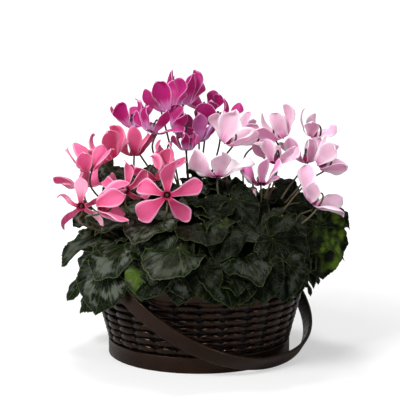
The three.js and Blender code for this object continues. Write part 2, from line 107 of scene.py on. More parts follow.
def smooth_route(points: list[Vector], share: float) -> Vector:
    """Follows a centripetal Catmull-Rom route through points.

    Args:
        points: the route's points, in order.
        share: 0 at the first point, 1 at the last, with the same share for every stretch.

    Returns:
        The point on the route.
    """
    last = len(points) - 1
    spot = min(share * last, last - 1e-9)
    index = int(spot)
    weight = spot - index
    first, second = points[index], points[index + 1]
    before = points[index - 1] if index > 0 else first * 2 - second
    after = points[index + 2] if index + 2 <= last else second * 2 - first
    stretches = ((before, first), (first, second), (second, after))
    spans = [max((b - a).length, LEAST_STRETCH) ** 0.5 for a, b in stretches]
    middle = (second - first) / spans[1]
    leave = (first - before) / spans[0] - (second - before) / (spans[0] + spans[1]) + middle
    arrive = middle - (after - first) / (spans[1] + spans[2]) + (after - second) / spans[2]
    leave *= spans[1]
    arrive *= spans[1]
    cubic = first * 2 - second * 2 + leave + arrive
    square = second * 3 - first * 3 - leave * 2 - arrive
    return first + leave * weight + square * weight**2 + cubic * weight**3


def rounded_section(corners: Outline, radius: float) -> Outline:
    """Rounds the corners of a closed outline.

    Args:
        corners: the outline's corners.
        radius: how far from a corner its rounding starts.

    Returns:
        The rounded outline.
    """
    outline = []
    for index, corner in enumerate(corners):
        here = Vector(corner)
        to_last = (Vector(corners[index - 1]) - here).normalized() * radius
        to_next = (Vector(corners[(index + 1) % len(corners)]) - here).normalized() * radius
        for step in range(ROUNDING_STEPS + 1):
            share = step / ROUNDING_STEPS
            point = here + to_last * (1 - share) ** 2 + to_next * share**2
            outline.append((point.x, point.y))
    return outline


def edge_wear_and_highlight(share: float, count: int) -> float:
    """Gives how pale a strip is painted at its rounded edges, most at their middle: rubbed wood and a
    painted highlight.

    Args:
        share: the share of the way round its rounded section.
        count: the points of the section.

    Returns:
        The tone that its finish reads.
    """
    middle_of_rounding = (1, 2)
    # The middles of the roundings get a pale tone: rubbed wood and a painted highlight line.
    return 1.3 if round(share * count) % (ROUNDING_STEPS + 1) in middle_of_rounding else 0.1


def put_in_scene(name: str, data: bpy.types.ID) -> bpy.types.Object:
    """Makes an object and links it to the scene.

    Args:
        name: the object's name.
        data: its mesh, light or camera.

    Returns:
        The object.
    """
    made = bpy.data.objects.new(name, data)
    bpy.context.scene.collection.objects.link(made)
    return made


# Meshes


@dataclass
class Shape:
    """A mesh in the making, in millimetres, whose points carry a triple that its finish reads."""

    mesh: bmesh.types.BMesh

    @classmethod
    def empty(cls) -> "Shape":
        """Starts a mesh with nothing in it.

        Returns:
            The shape, with the layers that its points' triples are kept in.
        """
        mesh = bmesh.new()
        mesh.verts.layers.float_vector.new("spot")
        mesh.verts.layers.float_vector.new("flat")
        return cls(mesh)

    def sheet(self, columns: int, rows: int, place: Place,
              material: int = 0) -> list[bmesh.types.BMVert]:
        """Lays a grid of quads over a surface.

        Args:
            columns: quads across.
            rows: quads along.
            place: takes the shares across and along, and gives the point and its finish triple.
            material: the material slot of the faces.

        Returns:
            The grid's points.
        """
        spot = self.mesh.verts.layers.float_vector["spot"]
        flat = self.mesh.verts.layers.float_vector["flat"]
        made = bmesh.ops.create_grid(self.mesh, x_segments=columns, y_segments=rows, size=0.5)["verts"]
        for vert in made:
            across = round((vert.co.x + 0.5) * columns) / columns
            along = round((vert.co.y + 0.5) * rows) / rows
            vert.co, vert[spot] = place(across, along)
            vert[flat] = (across, along, 1)
        if material:
            for face in {face for vert in made for face in vert.link_faces}:
                face.material_index = material
        return made

    def tube(self, centres: list[Vector], radii: list[float], sides: int, tone: float) -> None:
        """Draws a round stem through centres.

        Args:
            centres: the middle of each ring.
            radii: the radius of each ring.
            sides: the number of sides.
            tone: a number of the stem's own that its finish reads.
        """
        last = len(centres) - 1
        ahead = [(centres[min(i + 1, last)] - centres[max(i - 1, 0)]).normalized()
                 for i in range(last + 1)]
        side = ahead[0].orthogonal().normalized()
        sideways = []
        for heading in ahead:
            side = (side - heading * side.dot(heading)).normalized()
            sideways.append((side, heading.cross(side)))

        def place(across: float, along: float) -> Spot:
            """Places a point of the stem's skin.

            Args:
                across: the share of the way round the stem.
                along: the share of the way along it.

            Returns:
                The point and its finish triple.
            """
            ring = round(along * last)
            turn = 2 * math.pi * across
            right, up = sideways[ring]
            point = centres[ring] + (right * math.cos(turn) + up * math.sin(turn)) * radii[ring]
            return point, Vector((across, along, tone))

        self.sheet(sides, last, place)

    def thicken(self, verts: list[bmesh.types.BMVert], thickness: float) -> None:
        """Gives an open sheet its thickness, half to each side, and marks the new side's points.

        Args:
            verts: the sheet's points.
            thickness: from one face to the other.
        """
        flat = self.mesh.verts.layers.float_vector["flat"]
        self.mesh.normal_update()
        for vert in verts:
            vert.co += vert.normal * (thickness / 2)
        faces = list(dict.fromkeys(face for vert in verts for face in vert.link_faces))
        made = bmesh.ops.solidify(self.mesh, geom=faces, thickness=thickness)["geom"]
        for vert in made:
            if isinstance(vert, bmesh.types.BMVert):
                vert[flat].z = 0

    def close(self) -> None:
        """Welds seams and poles, caps open ends and turns every face outwards."""
        weld_distance = 1e-4
        bmesh.ops.remove_doubles(self.mesh, verts=self.mesh.verts, dist=weld_distance)
        open_edges = [edge for edge in self.mesh.edges if edge.is_boundary]
        if open_edges:
            bmesh.ops.holes_fill(self.mesh, edges=open_edges, sides=0)
        bmesh.ops.recalc_face_normals(self.mesh, faces=self.mesh.faces)
        self.sort_faces()

    def sort_faces(self) -> None:
        """Sorts the faces by their points, since thickening adds some in an order that varies."""
        self.mesh.verts.index_update()
        count = len(self.mesh.verts)

        def rank(face: bmesh.types.BMFace) -> int:
            """Ranks a face.

            Args:
                face: a face of the mesh.

            Returns:
                A number of its own, from the three of its points that come first.
            """
            first, second, third = sorted(vert.index for vert in face.verts)[:3]
            return (first * count + second) * count + third

        self.mesh.faces.sort(key=rank)

    def publish(self, name: str, materials: list[bpy.types.Material], slot: str, body: str = PLANTER,
                nodes: tuple[str, ...] = (), crease: float | None = None) -> bpy.types.Object:
        """Closes the mesh and turns it into a piece that rides on a body.

        Args:
            name: the piece's name.
            materials: its finishes, in the order of its faces' material slots.
            slot: the record's material slot; not used.
            body: the body that it moves with.
            nodes: the part's nodes that it stands for.
            crease: faces that meet at more than this angle in degrees keep a sharp edge.

        Returns:
            The piece.
        """
        self.close()
        bmesh.ops.scale(self.mesh, vec=(MM, MM, MM), verts=self.mesh.verts)
        data = bpy.data.meshes.new(name)
        self.mesh.to_mesh(data)
        self.mesh.free()
        data.shade_smooth()
        if crease is not None:
            data.set_sharp_from_angle(angle=math.radians(crease))
        for material in materials:
            data.materials.append(material)
        piece = put_in_scene(name, data)
        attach(piece, body)
        if nodes:
            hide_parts(*nodes)
        LOG.info("%s: %d faces on %s", name, len(data.polygons), body)
        return piece


# Materials


class Nodes:
    """A node tree that is written by short calls."""

    def __init__(self, tree: bpy.types.NodeTree) -> None:
        """Takes the tree to write in."""
        self.tree = tree

    def add(self, kind: str, **inputs: object) -> bpy.types.Node:
        """Adds a node.

        Args:
            kind: the node's type, without its ShaderNode prefix.
            inputs: settings of the node in lower case, and inputs by their name with _ for a space.

        Returns:
            The node.
        """
        node = self.tree.nodes.new(f"ShaderNode{kind}")
        self.set(node, **inputs)
        return node

    def set(self, node: bpy.types.Node, **inputs: object) -> None:
        """Changes a node.

        Args:
            node: the node.
            inputs: settings of the node in lower case, and inputs by their name with _ for a space.
        """
        for name, value in inputs.items():
            if name[0].islower():
                setattr(node, name, value)
            else:
                self.feed(node.inputs[name.replace("_", " ")], value)

    def feed(self, socket: bpy.types.NodeSocket, value: object) -> None:
        """Links a socket to an output, or sets its own value.

        Args:
            socket: the socket.
            value: an output, a number, a vector or a colour without its alpha.
        """
        if isinstance(value, bpy.types.NodeSocket):
            self.tree.links.new(value, socket)
        elif isinstance(value, tuple) and socket.type == "RGBA":
            socket.default_value = (*value, 1.0)
        else:
            socket.default_value = value

    def math(self, operation: str, *values: object, clamp: bool = False) -> bpy.types.NodeSocket:
        """Does a sum with numbers or outputs.

        Args:
            operation: the Math node's operation.
            values: its inputs, in order.
            clamp: whether the result stays between 0 and 1.

        Returns:
            The result.
        """
        node = self.add("Math", operation=operation, use_clamp=clamp)
        for socket, value in zip(node.inputs, values):
            self.feed(socket, value)
        return node.outputs[0]

    def step(self, value: object, low: float, high: float) -> bpy.types.NodeSocket:
        """Gives a smooth rise from 0 at low to 1 at high, or a fall where low is the larger.

        Args:
            value: what it follows.
            low: where it is 0.
            high: where it is 1.

        Returns:
            The result.
        """
        falls = low > high
        node = self.add("MapRange", interpolation_type="SMOOTHSTEP")
        self.feed(node.inputs["Value"], value)
        node.inputs["From Min"].default_value = min(low, high)
        node.inputs["From Max"].default_value = max(low, high)
        node.inputs["To Min"].default_value = 1.0 if falls else 0.0
        node.inputs["To Max"].default_value = 0.0 if falls else 1.0
        return node.outputs["Result"]

    def blend(self, share: object, first: object, second: object) -> bpy.types.NodeSocket:
        """Mixes two colours.

        Args:
            share: the second colour's share.
            first: the colour at 0.
            second: the colour at 1.

        Returns:
            The mixed colour.
        """
        node = self.add("Mix", data_type="RGBA")
        self.feed(node.inputs[0], share)
        self.feed(node.inputs[6], first)
        self.feed(node.inputs[7], second)
        return node.outputs[2]

    def where(self) -> bpy.types.NodeSocket:
        """Gives the place on the piece, in metres."""
        return self.add("TexCoord").outputs["Object"]

    def attribute(self, name: str) -> list[bpy.types.NodeSocket]:
        """Reads the three numbers of a mesh attribute.

        Args:
            name: the attribute.

        Returns:
            Its three numbers and, last, the whole vector.
        """
        vector = self.add("Attribute", attribute_name=name).outputs["Vector"]
        parts = self.add("SeparateXYZ", Vector=vector)
        return [*parts.outputs, vector]

    def stretch(self, vector: object, factors: tuple[float, float, float]) -> bpy.types.NodeSocket:
        """Stretches a pattern's coordinates."""
        return self.add("Mapping", Vector=vector, Scale=factors).outputs[0]

    def noise(self, vector: object, scale: object, detail: float = 3.0) -> bpy.types.NodeSocket:
        """Gives fractal noise between 0 and 1."""
        return self.add("TexNoise", Vector=vector, Scale=scale, Detail=detail).outputs[0]

    def bump(self, height: object, strength: float, distance: float) -> bpy.types.NodeSocket:
        """Turns a height into a normal, with the distance in metres."""
        return self.add("Bump", Height=height, Strength=strength, Distance=distance).outputs[0]

    def group(self, tree: bpy.types.NodeTree, **inputs: object) -> list[bpy.types.NodeSocket]:
        """Places a shared effect.

        Args:
            tree: the effect's node group.
            inputs: its inputs by name, with _ for a space.

        Returns:
            The effect's outputs.
        """
        return list(self.add("Group", node_tree=tree, **inputs).outputs)


def shared_effect(name: str, write: Callable[[Nodes, Sockets], Sockets]) -> bpy.types.NodeTree:
    """Makes a shader node group for a pattern at a scale, with a mask and a height, once.

    Args:
        name: the group's name.
        write: writes the nodes from the inputs and gives what feeds each output.

    Returns:
        The group.
    """
    known = bpy.data.node_groups.get(name)
    if known:
        return known
    inputs = {"Vector": "Vector", "Scale": "Float"}
    outputs = {"Mask": "Float", "Height": "Float"}
    tree = bpy.data.node_groups.new(name, "ShaderNodeTree")
    for side, sockets in (("INPUT", inputs), ("OUTPUT", outputs)):
        for label, kind in sockets.items():
            tree.interface.new_socket(label, in_out=side, socket_type=f"NodeSocket{kind}")
    nodes = Nodes(tree)
    entry = tree.nodes.new("NodeGroupInput")
    leave = tree.nodes.new("NodeGroupOutput")
    for label, value in write(nodes, {label: entry.outputs[label] for label in inputs}).items():
        nodes.feed(leave.inputs[label], value)
    return tree


def mottle() -> bpy.types.NodeTree:
    """Makes the effect of soft blotches with a finer speckle in them, as on living and dried plants.

    Returns:
        The effect's node group.
    """

    def write(nodes: Nodes, given: Sockets) -> Sockets:
        """Writes the nodes.

        Args:
            nodes: the effect's nodes.
            given: its inputs.

        Returns:
            What feeds each output.
        """
        coarse = nodes.noise(given["Vector"], given["Scale"], 2.0)
        fine = nodes.noise(given["Vector"], nodes.math("MULTIPLY", given["Scale"], 6.0), 3.0)
        both = nodes.math("MULTIPLY_ADD", fine, 0.35, nodes.math("MULTIPLY", coarse, 0.65))
        return {"Mask": nodes.step(both, 0.35, 0.65), "Height": both}

    return shared_effect("mottle", write)


def grain() -> bpy.types.NodeTree:
    """Makes the effect of fibres that run along a strand or strip, with pores between them.

    Returns:
        The effect's node group.
    """

    def write(nodes: Nodes, given: Sockets) -> Sockets:
        """Writes the nodes.

        Args:
            nodes: the effect's nodes.
            given: its inputs.

        Returns:
            What feeds each output.
        """
        fibres = nodes.noise(given["Vector"], given["Scale"], 4.0)
        drift = nodes.noise(given["Vector"], 1.3, 1.0)
        height = nodes.math("MULTIPLY_ADD", drift, 0.3, nodes.math("MULTIPLY", fibres, 0.7))
        return {"Mask": nodes.step(fibres, 0.4, 0.62), "Height": height}

    return shared_effect("grain", write)


def new_material(name: str) -> tuple[bpy.types.Material, Nodes, bpy.types.Node]:
    """Starts a material.

    Args:
        name: the material's name.

    Returns:
        The material, its nodes and its shader.
    """
    material = bpy.data.materials.new(name)
    material.use_nodes = True
    nodes = Nodes(material.node_tree)
    return material, nodes, material.node_tree.nodes["Principled BSDF"]


@dataclass(frozen=True)
class WillowFinish:
    """Dark stained and varnished willow, in strands or in bent strips.

    The piece's spot attribute holds the run along the strand in millimetres, the share round it, and
    a tone: the strand's own on weavers and stakes, and on the bent strips rubbed wood with a painted
    highlight at the edges.
    """

    name: str
    stain: Colour
    bare: Colour
    gloss: float
    fibre_scale: float
    # How far the pale bare colour shows: rubbed wood, and a painted highlight on the strips' edges.
    wear_and_highlight_gain: float = 0.6

    FIBRE_STRETCH = (0.035, 7.0, 3.1)
    BLOTCH_SCALE = 38.0
    REFLECTED = (1.0, 0.58, 0.42)

    def material(self) -> bpy.types.Material:
        """Builds the material.

        Returns:
            The material.
        """
        material, nodes, shader = new_material(self.name)
        _, _, tone, spot = nodes.attribute("spot")
        run = nodes.stretch(spot, self.FIBRE_STRETCH)
        fibres, height = nodes.group(grain(), Vector=run, Scale=self.fibre_scale)
        blotch, _ = nodes.group(mottle(), Vector=nodes.where(), Scale=self.BLOTCH_SCALE)
        # Pale bare colour from fibres, blotches and the tone: rubbed wood, and a painted highlight along the
        # strips' rounded edges.
        wear_and_highlight = nodes.math("MULTIPLY", nodes.math("MULTIPLY", fibres, 0.55), nodes.math("ADD", blotch, tone))
        wear_and_highlight = nodes.math("MULTIPLY", wear_and_highlight, self.wear_and_highlight_gain, clamp=True)
        rough = nodes.math("MULTIPLY_ADD", fibres, 0.16, self.gloss)
        nodes.set(
            shader,
            Base_Color=nodes.blend(wear_and_highlight, self.stain, self.bare),
            Roughness=nodes.math("MULTIPLY_ADD", blotch, 0.1, rough),
            Specular_IOR_Level=0.34,
            Specular_Tint=self.REFLECTED,
            Coat_Weight=0.08,
            Coat_Roughness=0.07,
            Normal=nodes.bump(height, 0.55, 0.0006),
        )
        return material


@dataclass(frozen=True)
class LeafFinish:
    """A cyclamen leaf: dark green with a silver zone, pale veins and a thin pale margin.

    The spot attribute holds the leaf's own coordinates across and along, in leaf lengths from the
    petiole, and a tone of the leaf's own. The flat attribute's second number is the share of the
    way to the margin, and its third is 1 on the upper face.
    """

    name: str
    dark: Colour = (0.0018, 0.0034, 0.0011)
    green: Colour = (0.0050, 0.0095, 0.0022)
    silver: Colour = (0.17, 0.19, 0.155)
    vein: Colour = (0.06, 0.085, 0.028)
    margin: Colour = (0.12, 0.15, 0.075)
    # Undersides are a bright green: painted light shining through the blade from behind, over their own
    # paler green.
    under: Colour = (0.05, 0.075, 0.018)
    under_flush: Colour = (0.06, 0.038, 0.038)
    lime: Colour = (0.07, 0.12, 0.010)
    silver_share: float = 0.6
    silver_spread: float = 0.3
    lime_from: float = 0.9
    lime_beyond: float = -1.0
    lime_spread: float = 0.42
    specks: float = 0.35
    shine: float = 0.10

    JOINT = 0.08
    QUILT_SCALE = 55.0
    VEIN_STEP = math.radians(24.0)
    VEIN_SIDES = (0.010, 0.003)
    NET_SCALE = 13.0
    NET_SIDES = (0.07, 0.01)
    STREAK_STRETCH = (14.0, 4.0, 9.0)
    PATCH_STRETCH = (4.5, 3.5, 9.0)
    SPECK_SCALE = 48.0
    SILVER_INNER = (0.40, 0.52)
    SILVER_OUTER = (0.86, 0.74)
    ISLAND_SCALE = 58.0
    MARGIN_SIDES = (0.95, 0.98)

    def veins(self, nodes: Nodes, polar: Sockets, spot: bpy.types.NodeSocket) -> bpy.types.NodeSocket:
        """Draws the main veins, which fan out from the petiole at even steps, and the net between them.

        Args:
            nodes: the material's nodes.
            polar: the turn and the radius about the petiole's joint.
            spot: the leaf's own coordinates.

        Returns:
            How much of the veins' colour shows.
        """
        off_axis = nodes.math("PINGPONG", polar["turn"], self.VEIN_STEP / 2)
        off_vein = nodes.math("MULTIPLY", off_axis, polar["radius"])
        main = nodes.step(off_vein, *self.VEIN_SIDES)
        cells = nodes.add("TexVoronoi", feature="DISTANCE_TO_EDGE", Vector=spot, Scale=self.NET_SCALE)
        net = nodes.math("MULTIPLY", nodes.step(cells.outputs["Distance"], *self.NET_SIDES), 0.55)
        return nodes.math("MAXIMUM", nodes.math("MULTIPLY", main, 0.85), nodes.math("MULTIPLY", net, 0.6))

    def silvered(self, nodes: Nodes, polar: Sockets, reach: bpy.types.NodeSocket,
                 tone: bpy.types.NodeSocket, spot: bpy.types.NodeSocket) -> bpy.types.NodeSocket:
        """Draws the silver, in streaked patches part of the way out, with specks beyond them.

        Args:
            nodes: the material's nodes.
            polar: the turn and the radius about the petiole's joint.
            reach: the share of the way to the margin.
            tone: the leaf's own tone.
            spot: the leaf's own coordinates.

        Returns:
            How much of the silver shows.
        """
        ray = nodes.add("CombineXYZ", X=polar["turn"], Y=polar["radius"], Z=tone).outputs[0]
        streaks = nodes.noise(nodes.stretch(ray, self.STREAK_STRETCH), 1.0)
        patches = nodes.noise(nodes.stretch(spot, self.PATCH_STRETCH), 1.0, 1.0)
        specks = nodes.step(nodes.noise(spot, self.SPECK_SCALE), 0.5, 0.66)
        specks = nodes.math("MULTIPLY", specks, nodes.step(patches, 0.42, 0.6))
        specks = nodes.math("MULTIPLY", specks, self.specks)
        edge = nodes.math("MULTIPLY_ADD", nodes.math("SUBTRACT", streaks, 0.5), 0.6, reach)
        inner = nodes.step(edge, *self.SILVER_INNER)
        zone = nodes.math("MULTIPLY", inner, nodes.step(edge, *self.SILVER_OUTER))
        spread = nodes.math("MULTIPLY_ADD", streaks, 0.5, patches)
        zone = nodes.math("MULTIPLY", zone, nodes.step(spread, 0.64, 0.82))
        share = nodes.math("MULTIPLY_ADD", tone, self.silver_spread, self.silver_share)
        return nodes.math("MAXIMUM", nodes.math("MULTIPLY", zone, share, clamp=True), specks)

    def freshness(self, nodes: Nodes, tone: bpy.types.NodeSocket,
                  where: bpy.types.NodeSocket) -> bpy.types.NodeSocket:
        """Gives how lime a leaf is: by its tone and its place, or by a tone above 1.05 alone.

        Args:
            nodes: the material's nodes.
            tone: the leaf's own tone.
            where: the place on the piece.

        Returns:
            The lime's share.
        """
        aside = nodes.add("SeparateXYZ", Vector=where).outputs[0]
        toned = nodes.step(tone, self.lime_from, self.lime_from + 0.1)
        beyond = nodes.step(aside, self.lime_beyond, self.lime_beyond + 0.02)
        return nodes.math("MAXIMUM", nodes.math("MULTIPLY", toned, beyond), nodes.step(tone, 1.05, 1.15))

    def material(self) -> bpy.types.Material:
        """Builds the material.

        Returns:
            The material.
        """
        material, nodes, shader = new_material(self.name)
        x, y, tone, spot = nodes.attribute("spot")
        _, reach, upper, _ = nodes.attribute("flat")
        where = nodes.where()
        blotch, quilt = nodes.group(mottle(), Vector=where, Scale=self.QUILT_SCALE)
        out = nodes.math("SUBTRACT", y, self.JOINT)
        squares = nodes.math("ADD", nodes.math("MULTIPLY", x, x), nodes.math("MULTIPLY", out, out))
        polar = {"turn": nodes.math("ARCTAN2", x, out), "radius": nodes.math("SQRT", squares)}
        lines = self.veins(nodes, polar, spot)
        zone = self.silvered(nodes, polar, reach, tone, spot)
        fresh = self.freshness(nodes, tone, where)
        zone = nodes.math("MULTIPLY", zone, nodes.math("MULTIPLY_ADD", fresh, -0.7, 1.0))
        islands = nodes.noise(where, self.ISLAND_SCALE, 1.5)
        islands = nodes.step(islands, self.lime_spread, self.lime_spread + 0.2)
        top = nodes.blend(blotch, self.dark, self.green)
        top = nodes.blend(nodes.math("MULTIPLY", fresh, islands), top, self.lime)
        top = nodes.blend(zone, top, self.silver)
        top = nodes.blend(lines, top, self.vein)
        margin = nodes.step(reach, *self.MARGIN_SIDES)
        top = nodes.blend(nodes.math("MULTIPLY", margin, 0.8), top, self.margin)
        flush = nodes.math("MULTIPLY", nodes.step(tone, -0.2, -0.6), 0.8)
        # Undersides: their own paler green, brightened as painted light shining through from behind, and
        # flushed red on some leaves.
        below = nodes.blend(nodes.math("MULTIPLY", blotch, 0.5), self.under, self.green)
        below = nodes.blend(flush, below, self.under_flush)
        nodes.set(
            shader,
            Base_Color=nodes.blend(upper, below, top),
            Roughness=nodes.math("MULTIPLY_ADD", zone, 0.16, 0.36),
            Specular_IOR_Level=self.shine,
            Subsurface_Weight=0.08,
            Subsurface_Radius=(0.4, 1.0, 0.2),
            Subsurface_Scale=0.002,
            Normal=nodes.bump(nodes.math("MULTIPLY_ADD", lines, -0.6, quilt), 0.5, 0.0012),
        )
        return material


@dataclass(frozen=True)
class PetalFinish:
    """A cyclamen petal, which changes from the nose of the flower to its body and its margin.

    The spot attribute holds the place across from -1 to 1, the share of the petal's length, below 0
    on the tube, and a tone of the petal's own.
    """

    name: str
    body: Colour
    shade: Colour
    base: Colour
    nose: Colour
    margin: Colour
    pale: Colour
    deep: Colour
    base_reach: float
    margin_start: float

    BLOTCH_SCALE = 60.0
    STREAK_STRETCH = (11.0, 1.1, 7.0)

    def material(self) -> bpy.types.Material:
        """Builds the material.

        Returns:
            The material.
        """
        material, nodes, shader = new_material(self.name)
        across, along, tone, spot = nodes.attribute("spot")
        blotch, _ = nodes.group(mottle(), Vector=nodes.where(), Scale=self.BLOTCH_SCALE)
        streaks = nodes.noise(nodes.stretch(spot, self.STREAK_STRETCH), 1.0)
        wander = nodes.math("MULTIPLY_ADD", nodes.math("SUBTRACT", streaks, 0.5), 0.5, along)
        share = nodes.math("MULTIPLY_ADD", tone, 0.3, nodes.math("MULTIPLY", streaks, 0.8), clamp=True)
        body = nodes.blend(share, self.body, self.shade)
        body = nodes.blend(nodes.math("MULTIPLY", blotch, 0.2), body, self.shade)
        body = nodes.blend(nodes.step(tone, -1.1, -2.5), body, self.pale)
        body = nodes.blend(nodes.step(tone, 1.1, 2.5), body, self.deep)
        colour = nodes.blend(nodes.step(wander, self.base_reach, 0.02), body, self.base)
        colour = nodes.blend(nodes.step(along, 0.06, -0.1), colour, self.nose)
        aside = nodes.math("ABSOLUTE", across)
        tip = nodes.step(along, 0.93, 1.0)
        rim = nodes.math("MAXIMUM", nodes.step(aside, self.margin_start, 1.0), tip)
        rim = nodes.math("MULTIPLY", rim, nodes.step(along, 0.02, 0.15))
        nodes.set(
            shader,
            Base_Color=nodes.blend(rim, colour, self.margin),
            Roughness=nodes.math("MULTIPLY_ADD", streaks, 0.2, 0.42),
            Specular_IOR_Level=0.25,
            Subsurface_Weight=0.5,
            Subsurface_Radius=(1.0, 0.5, 0.7),
            Subsurface_Scale=0.003,
            Sheen_Weight=0.15,
            Normal=nodes.bump(streaks, 0.35, 0.0008),
        )
        return material


@dataclass(frozen=True)
class StemFinish:
    """Leaf and flower stalks: tan and olive near the soil, almost black brown at the flowers."""

    name: str
    low: Colour = (0.13, 0.075, 0.035)
    olive: Colour = (0.075, 0.08, 0.03)
    high: Colour = (0.018, 0.010, 0.009)
    low_height: float = 0.185
    high_height: float = 0.235

    FIBRE_STRETCH = (1.0, 1.0, 0.25)
    FIBRE_SCALE = 240.0

    def material(self) -> bpy.types.Material:
        """Builds the material.

        Returns:
            The material.
        """
        material, nodes, shader = new_material(self.name)
        where = nodes.where()
        height = nodes.add("SeparateXYZ", Vector=where).outputs[2]
        upright = nodes.stretch(where, self.FIBRE_STRETCH)
        blotch, rise = nodes.group(mottle(), Vector=upright, Scale=self.FIBRE_SCALE)
        tone = nodes.attribute("spot")[2]
        foot = nodes.blend(nodes.math("MULTIPLY_ADD", tone, 0.5, 0.5, clamp=True), self.low, self.olive)
        colour = nodes.blend(nodes.step(height, self.low_height, self.high_height), foot, self.high)
        nodes.set(
            shader,
            Base_Color=nodes.blend(nodes.math("MULTIPLY", blotch, 0.35), colour, self.high),
            Roughness=nodes.math("MULTIPLY_ADD", blotch, 0.2, 0.4),
            Normal=nodes.bump(rise, 0.4, 0.0005),
        )
        return material


@dataclass(frozen=True)
class PlainFinish:
    """A finish of two colours that blotch into each other, with a bump of the same pattern."""

    name: str
    first: Colour
    second: Colour
    roughness: float
    scale: float
    bump: float
    metallic: float = 0.0

    def material(self) -> bpy.types.Material:
        """Builds the material.

        Returns:
            The material.
        """
        material, nodes, shader = new_material(self.name)
        blotch, height = nodes.group(mottle(), Vector=nodes.where(), Scale=self.scale)
        nodes.set(
            shader,
            Base_Color=nodes.blend(blotch, self.first, self.second),
            Roughness=nodes.math("MULTIPLY_ADD", blotch, 0.12, self.roughness),
            Metallic=self.metallic,
            Normal=nodes.bump(height, 0.6, self.bump),
        )
        return material


# The basket


@dataclass(frozen=True)
class WovenBasket:
    """The round basket: its floor, foot band, stakes, weavers and rim hoops."""

    foot_radius: float = 110.0
    foot_height: float = 19.0
    strip_thickness: float = 4.0
    floor_thickness: float = 6.0
    wall_flare: float = 0.26
    wall_thickness: float = 4.5
    wall_inset: float = 1.5
    rim_height: float = 101.0
    hoop_width: float = 13.0
    hoop_thickness: float = 3.0
    stakes: int = 26
    weavers: int = 15
    strand_depth: float = 1.3
    stake_width: float = 2.4
    stake_depth: float = 0.7
    stake_inset: float = 1.6
    swing: float = 2.3

    RING_COLUMNS = 180
    CORNER_ROUNDING = 0.8
    WOBBLE = 0.25
    SAMPLES_PER_STAKE = 10
    BEND = 0.6
    CROSSING = 0.42
    DRIFT = 0.35
    PAIR_DRIFT = 0.25
    SQUEEZE = 0.9
    STAKE_FOOT_LEAN = 0.12

    def wall_radius(self, height: float) -> float:
        """Gives the radius of the wall's outside at a height."""
        return self.foot_radius - self.wall_inset + self.wall_flare * (height - self.foot_height)

    def middle_radius(self, height: float) -> float:
        """Gives the radius of the stakes, which the weavers pass in front of and behind."""
        return self.wall_radius(height) - self.stake_inset

    def bend_strip(self, name: str, profile: Outline, material: bpy.types.Material, node: str) -> None:
        """Turns a closed profile about the basket's axis, with its corners rounded.

        Args:
            name: the piece's name.
            profile: radius and height of each corner.
            material: its finish.
            node: the part's node that it stands for.
        """
        rounded = rounded_section(profile, self.CORNER_ROUNDING)
        count = len(rounded)
        shape = Shape.empty()

        def place(across: float, along: float) -> Spot:
            """Places a point of the strip.

            Args:
                across: the share of the way round the basket.
                along: the share of the way round the section.

            Returns:
                The point and its finish triple.
            """
            turn = 2 * math.pi * across
            radius, height = rounded[round(along * count) % count]
            wobble = self.WOBBLE * noise.noise(Vector((3 * math.cos(turn), 3 * math.sin(turn), 0)))
            point = compass(360 * across, radius + wobble, height)
            # The tone is pale at the rounded edges: rubbed wood and a painted highlight.
            return point, Vector((turn * radius, along, edge_wear_and_highlight(along, count)))

        shape.sheet(self.RING_COLUMNS, count, place)
        shape.publish(name, [material], "bentwood", nodes=(node,), crease=35)

    def weave(self, material: bpy.types.Material) -> None:
        """Makes the weavers, which cross in pairs between the stakes, apart from the last one.

        Args:
            material: the finish of the strands.
        """
        start = self.foot_height + 2 * GAP
        pitch = (self.rim_height - self.hoop_width - GAP - start) / self.weavers
        shape = Shape.empty()
        for row in range(self.weavers):
            level = start + (row + 0.5) * pitch
            partner = 0.5 if row % 2 == 0 else -0.5
            paired = row < self.weavers - 1

            def place(across: float, along: float) -> Spot:
                """Places a point of the weaver's skin.

                Args:
                    across: the share of the way round the basket.
                    along: the share of the way round the weaver.

                Returns:
                    The point and its finish triple.
                """
                turn = 2 * math.pi * across
                wave = math.cos(self.stakes / 2 * turn + row * math.pi)
                over = math.copysign(abs(wave) ** self.BEND, wave)
                vary = noise.noise(Vector((4 * math.cos(turn), 4 * math.sin(turn), 3.7 * row)))
                to_pair = partner + self.CROSSING * over if paired else 0
                height = level + pitch * to_pair + self.DRIFT * vary + self.PAIR_DRIFT * draw(row // 2 + 0.5)
                around = 2 * math.pi * along
                radius = self.middle_radius(height) + self.swing * over
                radius -= self.SQUEEZE * (1 - abs(over))
                radius += 0.25 * vary
                radius += self.strand_depth * (1 + 0.12 * vary) * math.cos(around)
                height += 0.5 * pitch * (0.75 + 0.8 * max(over, 0) ** 0.5 + 0.1 * vary) * math.sin(around)
                tone = 0.5 * draw(row + 0.1)
                return compass(360 * across, radius, height), Vector((turn * radius, along, tone))

            shape.sheet(self.stakes * self.SAMPLES_PER_STAKE, 10, place)
        shape.publish("weavers", [material], "willow", nodes=("woven_wall",))

    def stand_stakes(self, material: bpy.types.Material) -> None:
        """Makes the flat stakes, from the floor up into the rim.

        Args:
            material: the finish of the strands.
        """
        shape = Shape.empty()
        clear = 0.5
        bottom = self.floor_thickness + GAP + clear
        for stake in range(self.stakes):
            azimuth = 360 * stake / self.stakes

            def place(across: float, along: float) -> Spot:
                """Places a point of the stake's skin.

                Args:
                    across: the share of the way round the stake.
                    along: the share of the way up.

                Returns:
                    The point and its finish triple.
                """
                height = bottom + (self.rim_height - clear - bottom) * along
                around = 2 * math.pi * across
                inside = max(self.foot_height - height, 0) * self.STAKE_FOOT_LEAN
                radius = self.middle_radius(height) - inside + self.stake_depth * math.cos(around)
                aside = self.stake_width * math.sin(around)
                point = compass(azimuth, radius, height)
                point += compass(azimuth + 90, aside, 0)
                return point, Vector((height, across, 0.6 * draw(stake)))

            shape.sheet(10, 18, place)
        shape.publish("stakes", [material], "willow", nodes=("woven_wall",))

